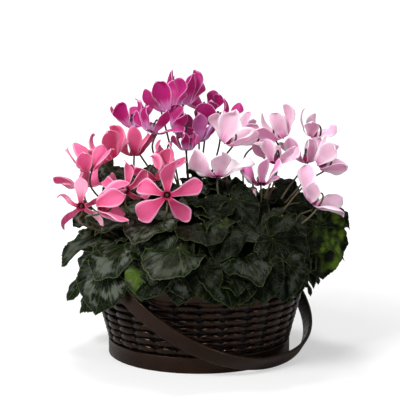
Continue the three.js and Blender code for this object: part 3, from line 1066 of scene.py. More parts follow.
    def build(self, willow: bpy.types.Material, bentwood: bpy.types.Material) -> None:
        """Makes every piece of the basket.

        Args:
            willow: the finish of the woven strands.
            bentwood: the finish of the bent strips.
        """
        inside = self.foot_radius - self.strip_thickness
        top = self.foot_height
        foot = [(inside, 0), (self.foot_radius, 0), (self.foot_radius, top), (inside, top)]
        self.bend_strip("foot_band_strip", foot, bentwood, "foot_band")
        hoop_bottom = self.rim_height - self.hoop_width
        for name, offset, node in (
            ("rim_hoop_outside", GAP, "rim_hoop_outer"),
            ("rim_hoop_inside", -self.wall_thickness - GAP - self.hoop_thickness, "rim_hoop_inner"),
        ):
            low = self.wall_radius(hoop_bottom) + offset
            high = self.wall_radius(self.rim_height) + offset
            thick = self.hoop_thickness
            hoop = [(low, hoop_bottom), (low + thick, hoop_bottom), (high + thick, self.rim_height),
                    (high, self.rim_height)]
            self.bend_strip(name, hoop, bentwood, node)
        self.weave(willow)
        self.stand_stakes(willow)
        self.lay_floor(willow)

    def lay_floor(self, material: bpy.types.Material) -> None:
        """Makes the floor, a disc of close weaving seen only from below.

        Args:
            material: the finish of the strands.
        """
        radius = self.foot_radius - self.strip_thickness - GAP
        middle = self.floor_thickness / 2
        strands = 12
        strand_width = 5
        shape = Shape.empty()

        def place(across: float, along: float) -> Spot:
            """Places a point of the disc, from its middle below to its middle above.

            Args:
                across: the share of the way round the disc.
                along: the share of the way out below and back above.

            Returns:
                The point and its finish triple.
            """
            turn = 2 * math.pi * along
            reach = radius * min(max(0.5 - 0.5 * math.cos(turn), 0.0), 1.0)
            side = -1 if along < 0.5 else 1
            ripple = math.cos(strands * 2 * math.pi * across + math.pi * round(reach / strand_width))
            weaving = 0.25 * ripple * smooth_step(4, 20, reach)
            height = middle + side * (middle - 0.5 + weaving if reach < radius - 0.5 else 0)
            run = 2 * math.pi * across * reach
            return compass(360 * across, reach, height), Vector((run, along, draw(reach)))

        shape.sheet(144, 48, place)
        shape.publish("basket_floor_weave", [material], "willow", nodes=("basket_floor",), crease=50)


@dataclass(frozen=True)
class SwingHandle:
    """The flat bentwood handle and the pins that it swings on."""

    pivot_radius: float = 136.0
    pivot_height: float = 96.0
    pivot_azimuth: float = 48.8
    reach: float = 152.0
    width: float = 19.0
    fullness: float = 2.15
    tail: float = 9.0
    thickness: float = 4.0
    steps: int = 120
    pin_head_radius: float = 5.0
    pin_radius: float = 2.5
    pin_head_thickness: float = 2.0

    TAIL_SHARE = 0.03
    CORNER_ROUNDING = 1.5
    STRIP_LENGTH = 480

    def drop(self) -> float:
        """Works out how far the arch hangs below level when its top lies on the table.

        Returns:
            The angle, in radians.
        """
        reach = self.reach + self.thickness / 2
        half = self.width / 2
        return math.asin((self.pivot_height - GAP) / math.hypot(reach, half)) - math.atan2(half, reach)

    def spine(self, share: float) -> tuple[Vector, Vector]:
        """Follows the middle of the strip in its own plane.

        Args:
            share: 0 at one tail's end, 1 at the other's.

        Returns:
            The point and the outward direction there.
        """
        tail_share = self.TAIL_SHARE
        if share < tail_share:
            return Vector((self.pivot_radius, self.tail * (share / tail_share - 1))), Vector((1, 0))
        if share > 1 - tail_share:
            down = -self.tail * (1 - (1 - share) / tail_share)
            return Vector((-self.pivot_radius, down)), Vector((-1, 0))
        turn = math.pi * (share - tail_share) / (1 - 2 * tail_share)
        power = 2 / self.fullness
        along = math.copysign(abs(math.cos(turn)) ** power, math.cos(turn))
        out = abs(math.sin(turn)) ** power
        point = Vector((self.pivot_radius * along, self.reach * out))
        normal = Vector((math.copysign(abs(along) ** (self.fullness - 1), along) / self.pivot_radius,
                         out ** (self.fullness - 1) / self.reach))
        return point, normal.normalized()

    def posed(self) -> Matrix:
        """Works out where the handle hangs.

        Returns:
            The turn and shift from the strip's own plane.
        """
        turn = Matrix.Rotation(math.radians(self.pivot_azimuth), 4, "Z")
        fall = Matrix.Rotation(math.pi + self.drop(), 4, "X")
        return Matrix.Translation((0, 0, self.pivot_height)) @ turn @ fall

    def build(self, bentwood: bpy.types.Material, iron: bpy.types.Material) -> None:
        """Makes the strip and its two pins.

        Args:
            bentwood: the finish of the strip.
            iron: the finish of the pins.
        """
        half_width = self.width / 2
        half_thickness = self.thickness / 2
        corners = [(-half_thickness, -half_width), (half_thickness, -half_width),
                   (half_thickness, half_width), (-half_thickness, half_width)]
        section = rounded_section(corners, self.CORNER_ROUNDING)
        count = len(section)
        pose = self.posed()
        shape = Shape.empty()

        def place(across: float, along: float) -> Spot:
            """Places a point of the strip.

            Args:
                across: the share of the way round the section.
                along: the share of the way from tail to tail.

            Returns:
                The point and its finish triple.
            """
            out, side = section[round(across * count) % count]
            middle, normal = self.spine(along)
            narrow = 1 - 0.5 * smooth_step(0.985, 1.0, abs(2 * along - 1)) ** 2
            point = middle + normal * out
            # The tone is pale at the rounded edges: rubbed wood and a painted highlight.
            spot = Vector((along * self.STRIP_LENGTH, across, edge_wear_and_highlight(across, count)))
            return pose @ Vector((point.x, point.y, side * narrow)), spot

        shape.sheet(count, self.steps, place)
        shape.publish("handle_strip", [bentwood], "bentwood", SWING_HANDLE, ("handle",), crease=50)
        for end, node in ((0, "pivot_pin_back"), (180, "pivot_pin_front")):
            self.set_pin(f"{node}_rivet", node, end, iron)

    def set_pin(self, name: str, node: str, end: float, iron: bpy.types.Material) -> None:
        """Makes a pin with a domed head at each side of the rim and the strip.

        Args:
            name: the piece's name.
            node: the part's node that it stands for.
            end: the turn about the basket's axis from the first pin, in degrees.
            iron: its finish.
        """
        low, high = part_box(node)
        centre = Vector((low[0] + high[0], low[1] + high[1], 0)) / (2 * MM)
        half_length = self.pin_reach(node) / 2
        head = self.pin_head_thickness
        middle = centre.length
        half = [(0, half_length), (0.7 * self.pin_head_radius, half_length - 0.2)]
        half += [(self.pin_head_radius, half_length - 0.6 * head)]
        half += [(self.pin_head_radius, half_length - head), (self.pin_radius, half_length - head)]
        profile = [(radius, -out) for radius, out in half] + half[::-1]
        azimuth = self.pivot_azimuth + end
        shape = Shape.empty()

        def place(across: float, along: float) -> Spot:
            """Places a point of the pin.

            Args:
                across: the share of the way round the pin.
                along: the share of the way along its outline.

            Returns:
                The point and its finish triple.
            """
            radius, out = profile[round(along * (len(profile) - 1))]
            turn = 2 * math.pi * across
            point = compass(azimuth, middle + out, self.pivot_height + radius * math.sin(turn))
            point += compass(azimuth + 90, radius * math.cos(turn), 0)
            return point, Vector((across, along, 0))

        shape.sheet(24, len(profile) - 1, place)
        shape.publish(name, [iron], "pin", nodes=(node,), crease=40)

    def pin_reach(self, node: str) -> float:
        """Gives a pin's length from the box of its node, whose heads widen the box a little.

        Args:
            node: the pin's node.

        Returns:
            The length.
        """
        low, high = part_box(node)
        turn = math.radians(self.pivot_azimuth)
        width = (high[0] - low[0]) / MM
        return (width - 2 * self.pin_head_radius * abs(math.sin(turn))) / abs(math.cos(turn))


@dataclass(frozen=True)
class PottingMix:
    """The thin liner and the potting mix in it."""

    basket: WovenBasket
    liner_thickness: float = 1.0
    liner_height: float = 86.0
    soil_height: float = 83.0
    soil_crown: float = 4.0

    CRUMB = 1.6
    SETTLED = 1.2

    def liner_radius(self, height: float) -> float:
        """Gives the radius of the liner's outside.

        Args:
            height: the height above the table.

        Returns:
            The radius there.
        """
        basket = self.basket
        bottom = basket.floor_thickness + GAP
        foot = basket.foot_radius - basket.strip_thickness - basket.wall_thickness - 3 * GAP
        rim = basket.wall_radius(self.liner_height) - basket.wall_thickness - 2 * GAP
        return foot + (rim - foot) * (height - bottom) / (self.liner_height - bottom)

    def build(self, liner: bpy.types.Material, soil: bpy.types.Material) -> None:
        """Makes the liner and the soil.

        Args:
            liner: the finish of the liner.
            soil: the finish of the potting mix.
        """
        bottom = self.basket.floor_thickness + GAP
        floor = bottom + self.liner_thickness
        thick = self.liner_thickness
        rim = self.liner_radius(self.liner_height)
        outside = [(0.0, bottom), (self.liner_radius(bottom), bottom), (rim, self.liner_height)]
        inside = [(rim - thick, self.liner_height), (self.liner_radius(floor) - thick, floor), (0.0, floor)]
        profile = outside + inside
        shape = Shape.empty()

        def place_liner(across: float, along: float) -> Spot:
            """Places a point of the liner.

            Args:
                across: the share of the way round the basket.
                along: the share of the way out and back inside.

            Returns:
                The point and its finish triple.
            """
            radius, height = profile[round(along * (len(profile) - 1))]
            return compass(360 * across, radius, height), Vector((across, along, 0))

        shape.sheet(96, len(profile) - 1, place_liner)
        shape.publish("liner_film", [liner], "liner", nodes=("liner",), crease=40)
        self.fill(soil)

    def fill(self, material: bpy.types.Material) -> None:
        """Makes the potting mix, with a crumbly top.

        Args:
            material: the finish of the potting mix.
        """
        bottom = self.basket.floor_thickness + 2 * GAP + self.liner_thickness
        rows_below = 4
        rows = 34
        shape = Shape.empty()

        def place(across: float, along: float) -> Spot:
            """Places a point of the mix.

            Args:
                across: the share of the way round the basket.
                along: the share of the way up the side and in over the top.

            Returns:
                The point and its finish triple.
            """
            row = round(along * rows)
            shoulder = self.soil_height - self.soil_crown
            if row <= rows_below:
                height = bottom + (shoulder - bottom) * max(row - 1, 0) / (rows_below - 1)
                radius = (self.liner_radius(height) - self.liner_thickness - GAP) * min(row, 1)
                return compass(360 * across, radius, height), Vector((across, along, 0))
            edge = self.liner_radius(shoulder) - self.liner_thickness - GAP
            radius = edge * (rows - row) / (rows - rows_below)
            point = compass(360 * across, radius, 0)
            crumbs = noise.fractal(point * 0.16, 0.9, 2.2, 4) + 0.5 * noise.noise(point * 0.5)
            rise = self.soil_crown * smooth_step(0, 4 * self.soil_crown, edge - radius)
            crumbs = self.CRUMB * crumbs * smooth_step(0, 6, edge - radius)
            point.z = shoulder + rise + crumbs - self.SETTLED
            return point, Vector((across, along, 0))

        shape.sheet(150, rows, place)
        shape.publish("potting_mix", [material], "soil", nodes=("soil",))


# The plants


@dataclass(frozen=True)
class LeafRing:
    """A ring of leaves about the basket's axis.

    Azimuths are listed for each plant. The base, where the petiole joins, and the tip are given as
    radius and height, and the roll is the most that a blade rolls about its midrib, in radians. The
    slack is how far the blades curl and ruffle, which is little where the handle swings past them.
    """

    azimuths: dict[Cultivar, tuple[float, ...]]
    base: tuple[float, float]
    tip: tuple[float, float]
    roll: float
    slack: float = 1.0


def ring(rose: tuple[float, ...], magenta: tuple[float, ...], blush: tuple[float, ...],
         base: tuple[float, float], tip: tuple[float, float], roll: float,
         slack: float = 1.0) -> LeafRing:
    """Lists a ring with each plant's azimuths in the order rose, magenta and blush."""
    azimuths = {Cultivar.ROSE: rose, Cultivar.MAGENTA: magenta, Cultivar.BLUSH: blush}
    return LeafRing(azimuths, base, tip, roll, slack)


LEAF_RINGS = (
    ring((151, 180, 209), (63, 91, 119), (), (124, 126), (164, 66), 0.06),
    ring((), (), (-82, -51, -20, 11), (120, 133), (150, 94), 0.06, 0.3),
    ring((249,), (), (), (116, 141), (148, 108), 0.06),
    ring((168, 196, 225, 259), (48, 76, 104, 132), (-68, -41, -14, 13), (112, 149), (176, 129), 0.1),
    ring((148, 179, 209, 236), (62, 97), (-89, -60, -30, 0, 28), (84, 171), (145, 163), 0.12, 0.6),
    ring((170, 205, 240), (66, 117), (-76, -38, 2), (50, 184), (104, 184), 0.15),
    ring((213,), (94,), (-38,), (25, 200), (70, 207), 0.15),
)

FILL_RINGS = (
    ring((), (76, 104, 133), (-71, -60, -48, -37, -20, -9), (118, 129), (152, 86), 0.3, 1.2),
    ring((), (), (-120, -108, -96, -82), (124, 132), (161, 96), 0.2, 0.8),
    ring((207, 256, 266), (34, 62, 90, 118, 140), (-101, -90, -73, -53, -30), (100, 148), (151, 109), 0.4),
    ring((165, 195, 217, 243), (40, 62, 90, 118, 140), (-97, -80, -54, -27, 0, 30),
         (104, 142), (154, 120), 0.6, 1.5),
    ring((160, 186, 211, 247), (48, 80, 110), (-100, -75, -48, -18, 14), (92, 159), (145, 144), 0.8, 1.5),
    ring((160, 195, 222), (50, 90, 135), (-74, -55, -12, 22), (66, 177), (116, 168), 0.8, 1.5),
    ring((178, 222), (60, 110), (-80, -60, -20), (38, 188), (84, 186), 0.6, 1.5),
    ring((195, 245), (80,), (-50, 0), (14, 195), (58, 194), 0.5, 1.5),
    ring((), (75,), (-36, -14, 40), (16, 212), (64, 203), 0.5, 1.5),
)


@dataclass(frozen=True)
class FacingLeaf:
    """A leaf that is placed one by one, from its petiole's joint to its tip in millimetres.

    Its upper side turns to the direction that it faces. A tone above 1.05 makes it lime, and the
    slack is how far it curls and ruffles.
    """

    base: tuple[float, float, float]
    tip: tuple[float, float, float]
    faces: tuple[float, float, float]
    tone: float
    slack: float = 1.3


FACING_LEAVES = {
    Cultivar.ROSE: (
        FacingLeaf((-105, -107, 129), (-119, -121, 72), (-0.3, -0.9, 0.3), 0.5, 0.7),
        FacingLeaf((-67, -122, 125), (-57, -144, 97), (0.1, -0.8, 0.5), 1.1, 0.8),
        FacingLeaf((-70, -104, 147), (-63, -122, 119), (-0.2, -0.75, 0.6), 0.9),
        FacingLeaf((-48, -104, 146), (-9, -124, 134), (0, -0.8, 0.6), -1),
        FacingLeaf((-21, -138, 130), (-17, -156, 100), (0, -0.85, 0.4), 0.2),
        FacingLeaf((-44, -134, 130), (-38, -150, 104), (0, -0.85, 0.4), -0.9, 0.8),
        FacingLeaf((-103, 12, 224), (-120, 0, 208), (-0.2, -0.8, 0.5), 0.9),
        FacingLeaf((-84, -2, 212), (-116, -14, 188), (-0.1, -0.8, 0.5), 0.9),
        FacingLeaf((-52, 22, 210), (-84, 10, 190), (0, -0.8, 0.6), 0.7),
        FacingLeaf((-126, -50, 178), (-147, -62, 166), (-0.2, -0.8, 0.5), 0.2),
    ),
    Cultivar.MAGENTA: (),
    Cultivar.BLUSH: (
        FacingLeaf((26, -100, 177), (18, -124, 162), (0, -0.5, 0.85), 1.09),
        FacingLeaf((33, -108, 170), (23, -138, 139), (0, -0.75, 0.65), 0),
        FacingLeaf((97, -88, 182), (76, -112, 163), (-0.2, -0.75, 0.65), 0),
        FacingLeaf((80, -108, 161), (131, -104, 120), (0.1, -0.75, 0.65), 0),
        FacingLeaf((137, -52, 167), (154, -62, 101), (0.3, -0.85, 0.4), 0.6),
        FacingLeaf((148, 0, 175), (183, -12, 155), (0, -0.55, 0.8), -0.2),
        FacingLeaf((5, -140, 133), (8, -158, 97), (0, -0.85, 0.4), 0.1, 0.8),
        FacingLeaf((37, -134, 129), (20, -150, 92), (0, -0.9, 0.3), 0),
        FacingLeaf((46, -132, 129), (45, -150, 90), (0.1, -0.9, 0.3), 0.4),
        FacingLeaf((71, -126, 135), (73, -144, 91), (0, -0.85, 0.4), -0.1),
        FacingLeaf((98, -114, 135), (96, -132, 91), (0.1, -0.85, 0.4), 1),
        FacingLeaf((35, -62, 199), (58, -98, 165), (-0.2, -0.6, 0.75), 0),
        FacingLeaf((92, 30, 196), (130, 26, 176), (0.1, -0.7, 0.7), -0.2, 1),
        FacingLeaf((118, 4, 182), (146, -4, 158), (0.1, -0.75, 0.6), -0.2, 1),
    ),
}


@dataclass(frozen=True)
class Leaf:
    """A leaf blade, in coordinates across and along its midrib that are counted in leaf lengths."""

    base: Vector
    length: float
    forward: Vector
    outward: Vector
    across: Vector
    seed: float
    tone: float
    slack: float = 1.0

    HALF = ((0, 1), (0.09, 0.93), (0.23, 0.84), (0.4, 0.64), (0.5, 0.41), (0.495, 0.14), (0.4, -0.09),
            (0.19, -0.2), (0, 0.02))
    HUB = 0.36
    JOINT = 0.08
    DROOP = 0.16
    CUP = 0.22
    WAVE = 0.04
    WAVES = 4
    TURN = 3
    RISE = 3
    STRETCH = 5
    LEANS_OUT = 0.45
    TEETH = 21
    TOOTH = 0.013
    CURL = 0.15
    RUFFLE = 0.03
    RUFFLES = 8
    VEIN_STEP = math.radians(24)
    VEIN_DEPTH = 0.005
    VEIN_WIDTH = 0.022
    QUILT_STEPS = 13
    CURL_STEPS = 2.6
    THICKNESS = 0.6

    @classmethod
    def grown(cls, where: LeafRing, azimuth: float, seed: float, loose: float) -> "Leaf":
        """Places a leaf in a ring.

        Args:
            where: the ring.
            azimuth: the leaf's azimuth, in degrees.
            seed: the leaf's own seed.
            loose: how far it strays from its ring, against the part's own leaves.

        Returns:
            The leaf.
        """
        heading = azimuth + cls.TURN * loose * draw(seed)
        rise = cls.RISE * loose * draw(seed + 0.3)
        stretch = cls.STRETCH * loose * draw(seed + 0.6)
        base = compass(azimuth, where.base[0], where.base[1] + rise)
        tip = compass(heading, where.tip[0] + stretch, where.tip[1] + rise)
        forward = (tip - base).normalized()
        outward = compass(azimuth, cls.LEANS_OUT, 1)
        outward = (outward - forward * outward.dot(forward)).normalized()
        outward = Matrix.Rotation(where.roll * draw(seed + 0.9), 3, forward) @ outward
        across = forward.cross(outward)
        tone = draw(seed + 0.45)
        return cls(base, (tip - base).length, forward, outward, across, seed, tone, where.slack)

    @classmethod
    def facing(cls, stance: FacingLeaf, seed: float) -> "Leaf":
        """Places a leaf that faces a given way.

        Args:
            stance: where it is and how it faces.
            seed: the leaf's own seed.

        Returns:
            The leaf.
        """
        base = Vector(stance.base)
        along = Vector(stance.tip) - base
        forward = along.normalized()
        faces = Vector(stance.faces)
        outward = (faces - forward * faces.dot(forward)).normalized()
        across = forward.cross(outward)
        return cls(base, along.length, forward, outward, across, seed, stance.tone, stance.slack)

    def lift(self, x: float, y: float) -> float:
        """Gives how far the blade stands off its flat plane.

        Args:
            x: the place across, in leaf lengths.
            y: the place along, in leaf lengths.

        Returns:
            The distance, in leaf lengths.
        """
        wave = self.WAVE * math.hypot(x, y - self.HUB) * 2
        ripple = math.sin(self.WAVES * math.atan2(x, y - self.HUB) + self.seed)
        return self.CUP * abs(x) * (0.5 - abs(x)) - self.DROOP * y * y + wave * ripple

    def point(self, x: float, y: float, more: float = 0.0) -> Vector:
        """Gives the point of the blade at its own coordinates, lifted by some more."""
        out = self.lift(x, y) + more
        return self.base + (self.across * x + self.forward * y + self.outward * out) * self.length

    def margin(self, share: float) -> tuple[float, float]:
        """Follows the toothed margin from the notch by one side to the tip and back by the other.

        Args:
            share: 0 and 1 at the notch, 0.5 at the tip.

        Returns:
            The place across and along.
        """
        from_tip = abs(2 * share - 1)
        side = -1 if share < 0.5 else 1
        half = [Vector((x, y, 0)) for x, y in self.HALF]
        place = smooth_route(half, from_tip)
        tooth = abs(math.sin(math.pi * self.TEETH * from_tip)) - 0.5
        ease = smooth_step(0, 0.07, from_tip) * smooth_step(1, 0.93, from_tip)
        grow = 1 + 2 * self.TOOTH * tooth * ease * (1 + 0.5 * draw(self.seed + round(self.TEETH * from_tip)))
        return side * place.x * grow, self.HUB + (place.y - self.HUB) * grow

    def add_to(self, shape: Shape, samples: int, rings: int) -> None:
        """Lays the blade in a mesh, from the petiole's joint out to the margin.

        Args:
            shape: the mesh.
            samples: quads along each tooth.
            rings: quads from the joint to the margin.
        """
        spokes = 2 * samples * self.TEETH
        margins = [self.margin(spoke / spokes) for spoke in range(spokes + 1)]
        margins[0] = margins[-1] = (0.0, margins[0][1])

        def place(across: float, along: float) -> Spot:
            """Places a point of the blade.

            Args:
                across: the share of the way round the margin.
                along: the share of the way out from the joint.

            Returns:
                The point and its finish triple.
            """
            edge_x, edge_y = margins[round(across * spokes)]
            reach = 1 - (1 - along) ** 1.35
            x = edge_x * reach
            y = self.JOINT + (edge_y - self.JOINT) * reach
            turn = math.atan2(x, y - self.JOINT)
            step = self.VEIN_STEP
            aside = abs(turn - step * round(turn / step)) * math.hypot(x, y - self.JOINT)
            sunk = -self.VEIN_DEPTH * math.exp(-((aside / self.VEIN_WIDTH) ** 2))
            groove = sunk * smooth_step(1, 0.75, reach)
            fine = Vector((self.QUILT_STEPS * x, self.QUILT_STEPS * y, self.seed))
            quilt = 0.9 * self.VEIN_DEPTH * noise.noise(fine)
            coarse = Vector((self.CURL_STEPS * x, self.CURL_STEPS * y, 1.7 * self.seed))
            curl = self.CURL * noise.noise(coarse) * reach * reach
            ruffle = math.sin(self.RUFFLES * turn + 2.3 * self.seed)
            ruffle += 0.6 * math.sin(2.4 * self.RUFFLES * turn + self.seed)
            more = groove + quilt + self.slack * (curl + self.RUFFLE * ruffle * reach**4)
            return self.point(x, y, more), Vector((x, y, self.tone))

        shape.thicken(shape.sheet(spokes, rings, place), self.THICKNESS)


@dataclass(frozen=True)
class Bloom:
    """A flower: a small tube, open downwards, with five petals turned back from its rim.

    The face is the azimuth that the mouth leans towards, the lean is from straight down, and the
    spread is the angle of the petals from the flower's axis, all in degrees. A tint of 2 is the
    deepest colour of the cultivar and one of -2 the palest. A looser bloom has narrower petals that
    differ more from each other.
    """

    mouth: tuple[float, float, float]
    face: float
    lean: float
    spread: float
    petal: float
    tint: float = 0.0
    loose: float = 1.0

    PETAL_AZIMUTHS = (44, 112, 180, 248, 316)
    WIDEST = 0.64
    BULGE = 0.1
    CAMBER = 0.14
    BREADTH = 0.6
    TWIST = 0.7
    SPIRAL = 0.65
    TIP_TWIST = 0.75
    TIP_CURL = 0.3
    SWAY = 11
    TURN = 8
    STRETCH = 0.12
    TUBE_RADIUS = 5.4
    TUBE_HEIGHT = 10.0
    ROOT_SPREAD = 31
    THICKNESS = 0.45
    SEPAL_THICKNESS = 0.35
    STAMENS = ((0.2, 6.5), (1.9, 6.0), (2.3, 4.0), (1.8, 1.5), (0.9, 0.2), (0.55, -0.8), (0.75, -1.5),
               (0.5, -2.1), (0.0, -2.3))
    HOOK = ((10.5, -16), (9.5, 4), (6, TUBE_HEIGHT + 4), (1.6, TUBE_HEIGHT + 6), (0, TUBE_HEIGHT + 0.5))

    def axes(self) -> tuple[Vector, Vector, Vector]:
        """Works out the flower's own directions.

        Returns:
            The directions from the mouth to the calyx, towards the stalk and square to both.
        """
        lean = math.radians(self.lean)
        face = compass(self.face, 1, 0)
        up = face * -math.sin(lean) + Vector((0, 0, math.cos(lean)))
        side = face * -math.cos(lean) + Vector((0, 0, -math.sin(lean)))
        return up, side, up.cross(side)

    def at(self, side: float, up: float, third: float = 0.0) -> Vector:
        """Gives the point at distances from the mouth along the flower's own directions."""
        up_axis, side_axis, third_axis = self.axes()
        return Vector(self.mouth) + side_axis * side + up_axis * up + third_axis * third

    def half_breadth(self, along: float, seed: float) -> float:
        """Gives a petal's half breadth.

        Args:
            along: the share of the petal's length.
            seed: the petal's own seed.

        Returns:
            The half breadth there, as a share of the full one.
        """
        widest = self.WIDEST + 0.05 * draw(seed + 0.62)
        broad = (1.12 - 0.12 * self.loose) * (1 + 0.12 * self.loose * draw(seed + 0.5))
        if along < widest:
            return broad * (0.26 + 0.74 * smooth_step(-0.1, widest, along))
        past = (along - widest) / (1.0 - widest)
        blunt = 2.0 + 0.5 * draw(seed + 0.91)
        return broad * max(1 - past**blunt, 0.0) ** (0.7 + 0.16 * draw(seed + 0.8))

    def petal_point(self, azimuth: float, seed: float, across: float, along: float) -> Vector:
        """Follows a petal's surface.

        Args:
            azimuth: the petal's azimuth about the flower's axis, in degrees.
            seed: the petal's own seed.
            across: -1 at one edge, 1 at the other.
            along: 0 at the rim of the tube, 1 at the tip.

        Returns:
            The point.
        """
        up, side, third = self.axes()
        turn = math.radians(azimuth)
        spread = math.radians(self.spread + self.SWAY * self.loose * draw(seed))
        length = self.petal * (1 + self.STRETCH * draw(seed + 0.2))
        out = side * math.cos(turn) + third * math.sin(turn)
        heading = up * math.cos(spread) + out * math.sin(spread)
        twist = self.TWIST * self.loose * draw(seed + 0.4) * along + self.SPIRAL * along
        twist += self.TIP_TWIST * self.loose * draw(seed + 0.55) * along * along
        width = Matrix.Rotation(twist, 3, heading) @ up.cross(out)
        lift = width.cross(heading)
        edge = noise.noise(Vector((3.2 * along, seed, math.copysign(2.0, across))))
        half = self.half_breadth(along, seed) * length * self.BREADTH * 0.5 * (1 + 0.24 * edge * along)
        camber = self.CAMBER * (1 + 0.9 * draw(seed + 0.33))
        bow = camber * length * self.BREADTH * math.sin(math.pi * min(along / 1.15, 1)) ** 0.8
        fold = 0.12 * self.loose * draw(seed + 0.27) * across * abs(across) * along
        curl = self.TIP_CURL * self.loose * draw(seed + 0.7) * along**3
        ruffle = 0.022 * math.sin(8 * along + seed + 2 * across) * abs(across) ** 3 * along
        point = Vector(self.mouth) + heading * (length * along) + width * (across * half)
        point += out * (self.TUBE_RADIUS + length * self.BULGE * math.sin(math.pi * along))
        point += lift * (-bow * (1 - across * across) + length * (curl + fold + ruffle))
        root_turn = math.radians(azimuth + self.ROOT_SPREAD * across)
        root = self.at(self.TUBE_RADIUS * math.cos(root_turn), 0, self.TUBE_RADIUS * math.sin(root_turn))
        joined = smooth_step(0, 0.22, along)
        point = root.lerp(point, joined) if joined < 1 else point
        lip = math.sin(math.pi * min(along / 0.3, 1)) * 0.05 * length
        return point + out * (0.6 * lip) - up * (0.8 * lip)

    def add_corolla(self, shape: Shape, seed: float) -> None:
        """Lays the petals and the tube in a mesh.

        Args:
            shape: the mesh.
            seed: the bloom's own seed.
        """
        for number, middle in enumerate(self.PETAL_AZIMUTHS):
            azimuth = middle + self.TURN * self.loose * draw(seed + 0.17 * number)
            tone = draw(seed + number + 0.35) + self.tint

            def place(across: float, along: float) -> Spot:
                """Places a point of the petal.

                Args:
                    across: the share of the way across the petal.
                    along: the share of the way to its tip.

                Returns:
                    The point and its finish triple.
                """
                aside = 2 * across - 1
                reach = 1 - (1 - along) ** 1.15
                return self.petal_point(azimuth, seed + number, aside, reach), Vector((aside, reach, tone))

            shape.thicken(shape.sheet(12, 20, place), self.THICKNESS)
        self.add_tube(shape)

    def add_tube(self, shape: Shape) -> None:
        """Lays the tube's wall in a mesh, from the calyx down outside and back up inside.

        Args:
            shape: the mesh.
        """
        radius = self.TUBE_RADIUS
        height = self.TUBE_HEIGHT
        shares = ((0.34, 0.98), (0.62, 0.86), (0.84, 0.64), (0.98, 0.36), (1.04, 0.14), (1.0, -0.02))
        outside = [(0.0, height)] + [(r * radius, h * height) for r, h in shares]
        inside = [(max(r - 0.7, 0.0), h - 0.5 if h > 0.5 else h) for r, h in reversed(outside)]
        profile = outside + inside
        last = len(profile) - 1

        def place(across: float, along: float) -> Spot:
            """Places a point of the tube.

            Args:
                across: the share of the way round the tube.
                along: the share of the way along its outline.

            Returns:
                The point and its finish triple.
            """
            wide, up = profile[round(along * last)]
            turn = 2 * math.pi * across
            lobed = wide * (1 + 0.05 * math.cos(5 * turn) * (1 - up / height))
            point = self.at(lobed * math.cos(turn), up, lobed * math.sin(turn))
            depth = 1 if along > 0.5 else 0
            return point, Vector((0.0, -0.05 - 0.3 * up / height - 0.3 * depth, 0.0))

        shape.sheet(20, last, place)

    def add_calyx(self, shape: Shape, material: int) -> None:
        """Lays five pointed sepals on the tube's crown in a mesh.

        Args:
            shape: the mesh.
            material: the material slot of their faces.
        """
        for number in range(5):
            middle = math.radians(72 * number + 8)

            def place(across: float, along: float) -> Spot:
                """Places a point of the sepal.

                Args:
                    across: the share of the way across the sepal.
                    along: the share of the way to its tip.

                Returns:
                    The point and its finish triple.
                """
                arc = 1.35 * along
                wide = 0.42 * (1 - along**1.6) * (2 * across - 1)
                radius = (self.TUBE_RADIUS + 0.5) * math.sin(arc) * 0.98 + 0.2
                up = self.TUBE_HEIGHT + 0.6 - 7.0 * (1 - math.cos(arc))
                turn = middle + wide / max(math.sin(arc), 0.35)
                point = self.at(radius * math.cos(turn), up, radius * math.sin(turn))
                return point, Vector((across, along, 0.6))

            shape.thicken(shape.sheet(4, 6, place, material), self.SEPAL_THICKNESS)

    def add_stamens(self, shape: Shape, material: int) -> None:
        """Lays the cone of anthers and the dark stigma that shows in the mouth in a mesh.

        Args:
            shape: the mesh.
            material: the material slot of its faces.
        """
        last = len(self.STAMENS) - 1

        def place(across: float, along: float) -> Spot:
            """Places a point of the cone.

            Args:
                across: the share of the way round the cone.
                along: the share of the way out.

            Returns:
                The point and its finish triple.
            """
            wide, up = self.STAMENS[round(along * last)]
            turn = 2 * math.pi * across
            ribbed = wide * (1 + 0.12 * math.cos(5 * turn) * (up > 0.5))
            point = self.at(ribbed * math.cos(turn), up, ribbed * math.sin(turn))
            return point, Vector((across, along, 0))

        shape.sheet(15, last, place, material)

    def add_bud(self, shape: Shape, material: int) -> None:
        """Lays a furled bud in a mesh, which hangs from the calyx as long as its petals are.

        Args:
            shape: the mesh.
            material: the material slot of its faces.
        """

        def place(across: float, along: float) -> Spot:
            """Places a point of the bud.

            Args:
                across: the share of the way round the bud.
                along: the share of the way from the calyx to its tip.

            Returns:
                The point and its finish triple.
            """
            turn = 2 * math.pi * across
            plump = math.sin(math.pi * along**0.8) ** 0.8 if 0 < along < 1 else 0
            wide = 0.62 * self.TUBE_RADIUS * plump * (1 + 0.16 * math.cos(5 * turn + 3.5 * along))
            up = self.TUBE_HEIGHT - (self.TUBE_HEIGHT + self.petal) * along
            point = self.at(wide * math.cos(turn), up, wide * math.sin(turn))
            return point, Vector((0, 0.9 * along, self.tint))

        shape.sheet(20, 18, place, material)

    def stalk(self, root: Callable[[Vector], Vector]) -> list[Vector]:
        """Gives the route of the flower stalk, up from the tuber and over into the calyx.

        Args:
            root: gives where a stem towards a point leaves the tuber.

        Returns:
            The route's points.
        """
        hook = [self.at(side, up) for side, up in self.HOOK]
        start = root(hook[0])
        bend = start.lerp(hook[0], 0.5)
        bend.z += 0.12 * (hook[0] - start).length
        return [start, bend, *hook]


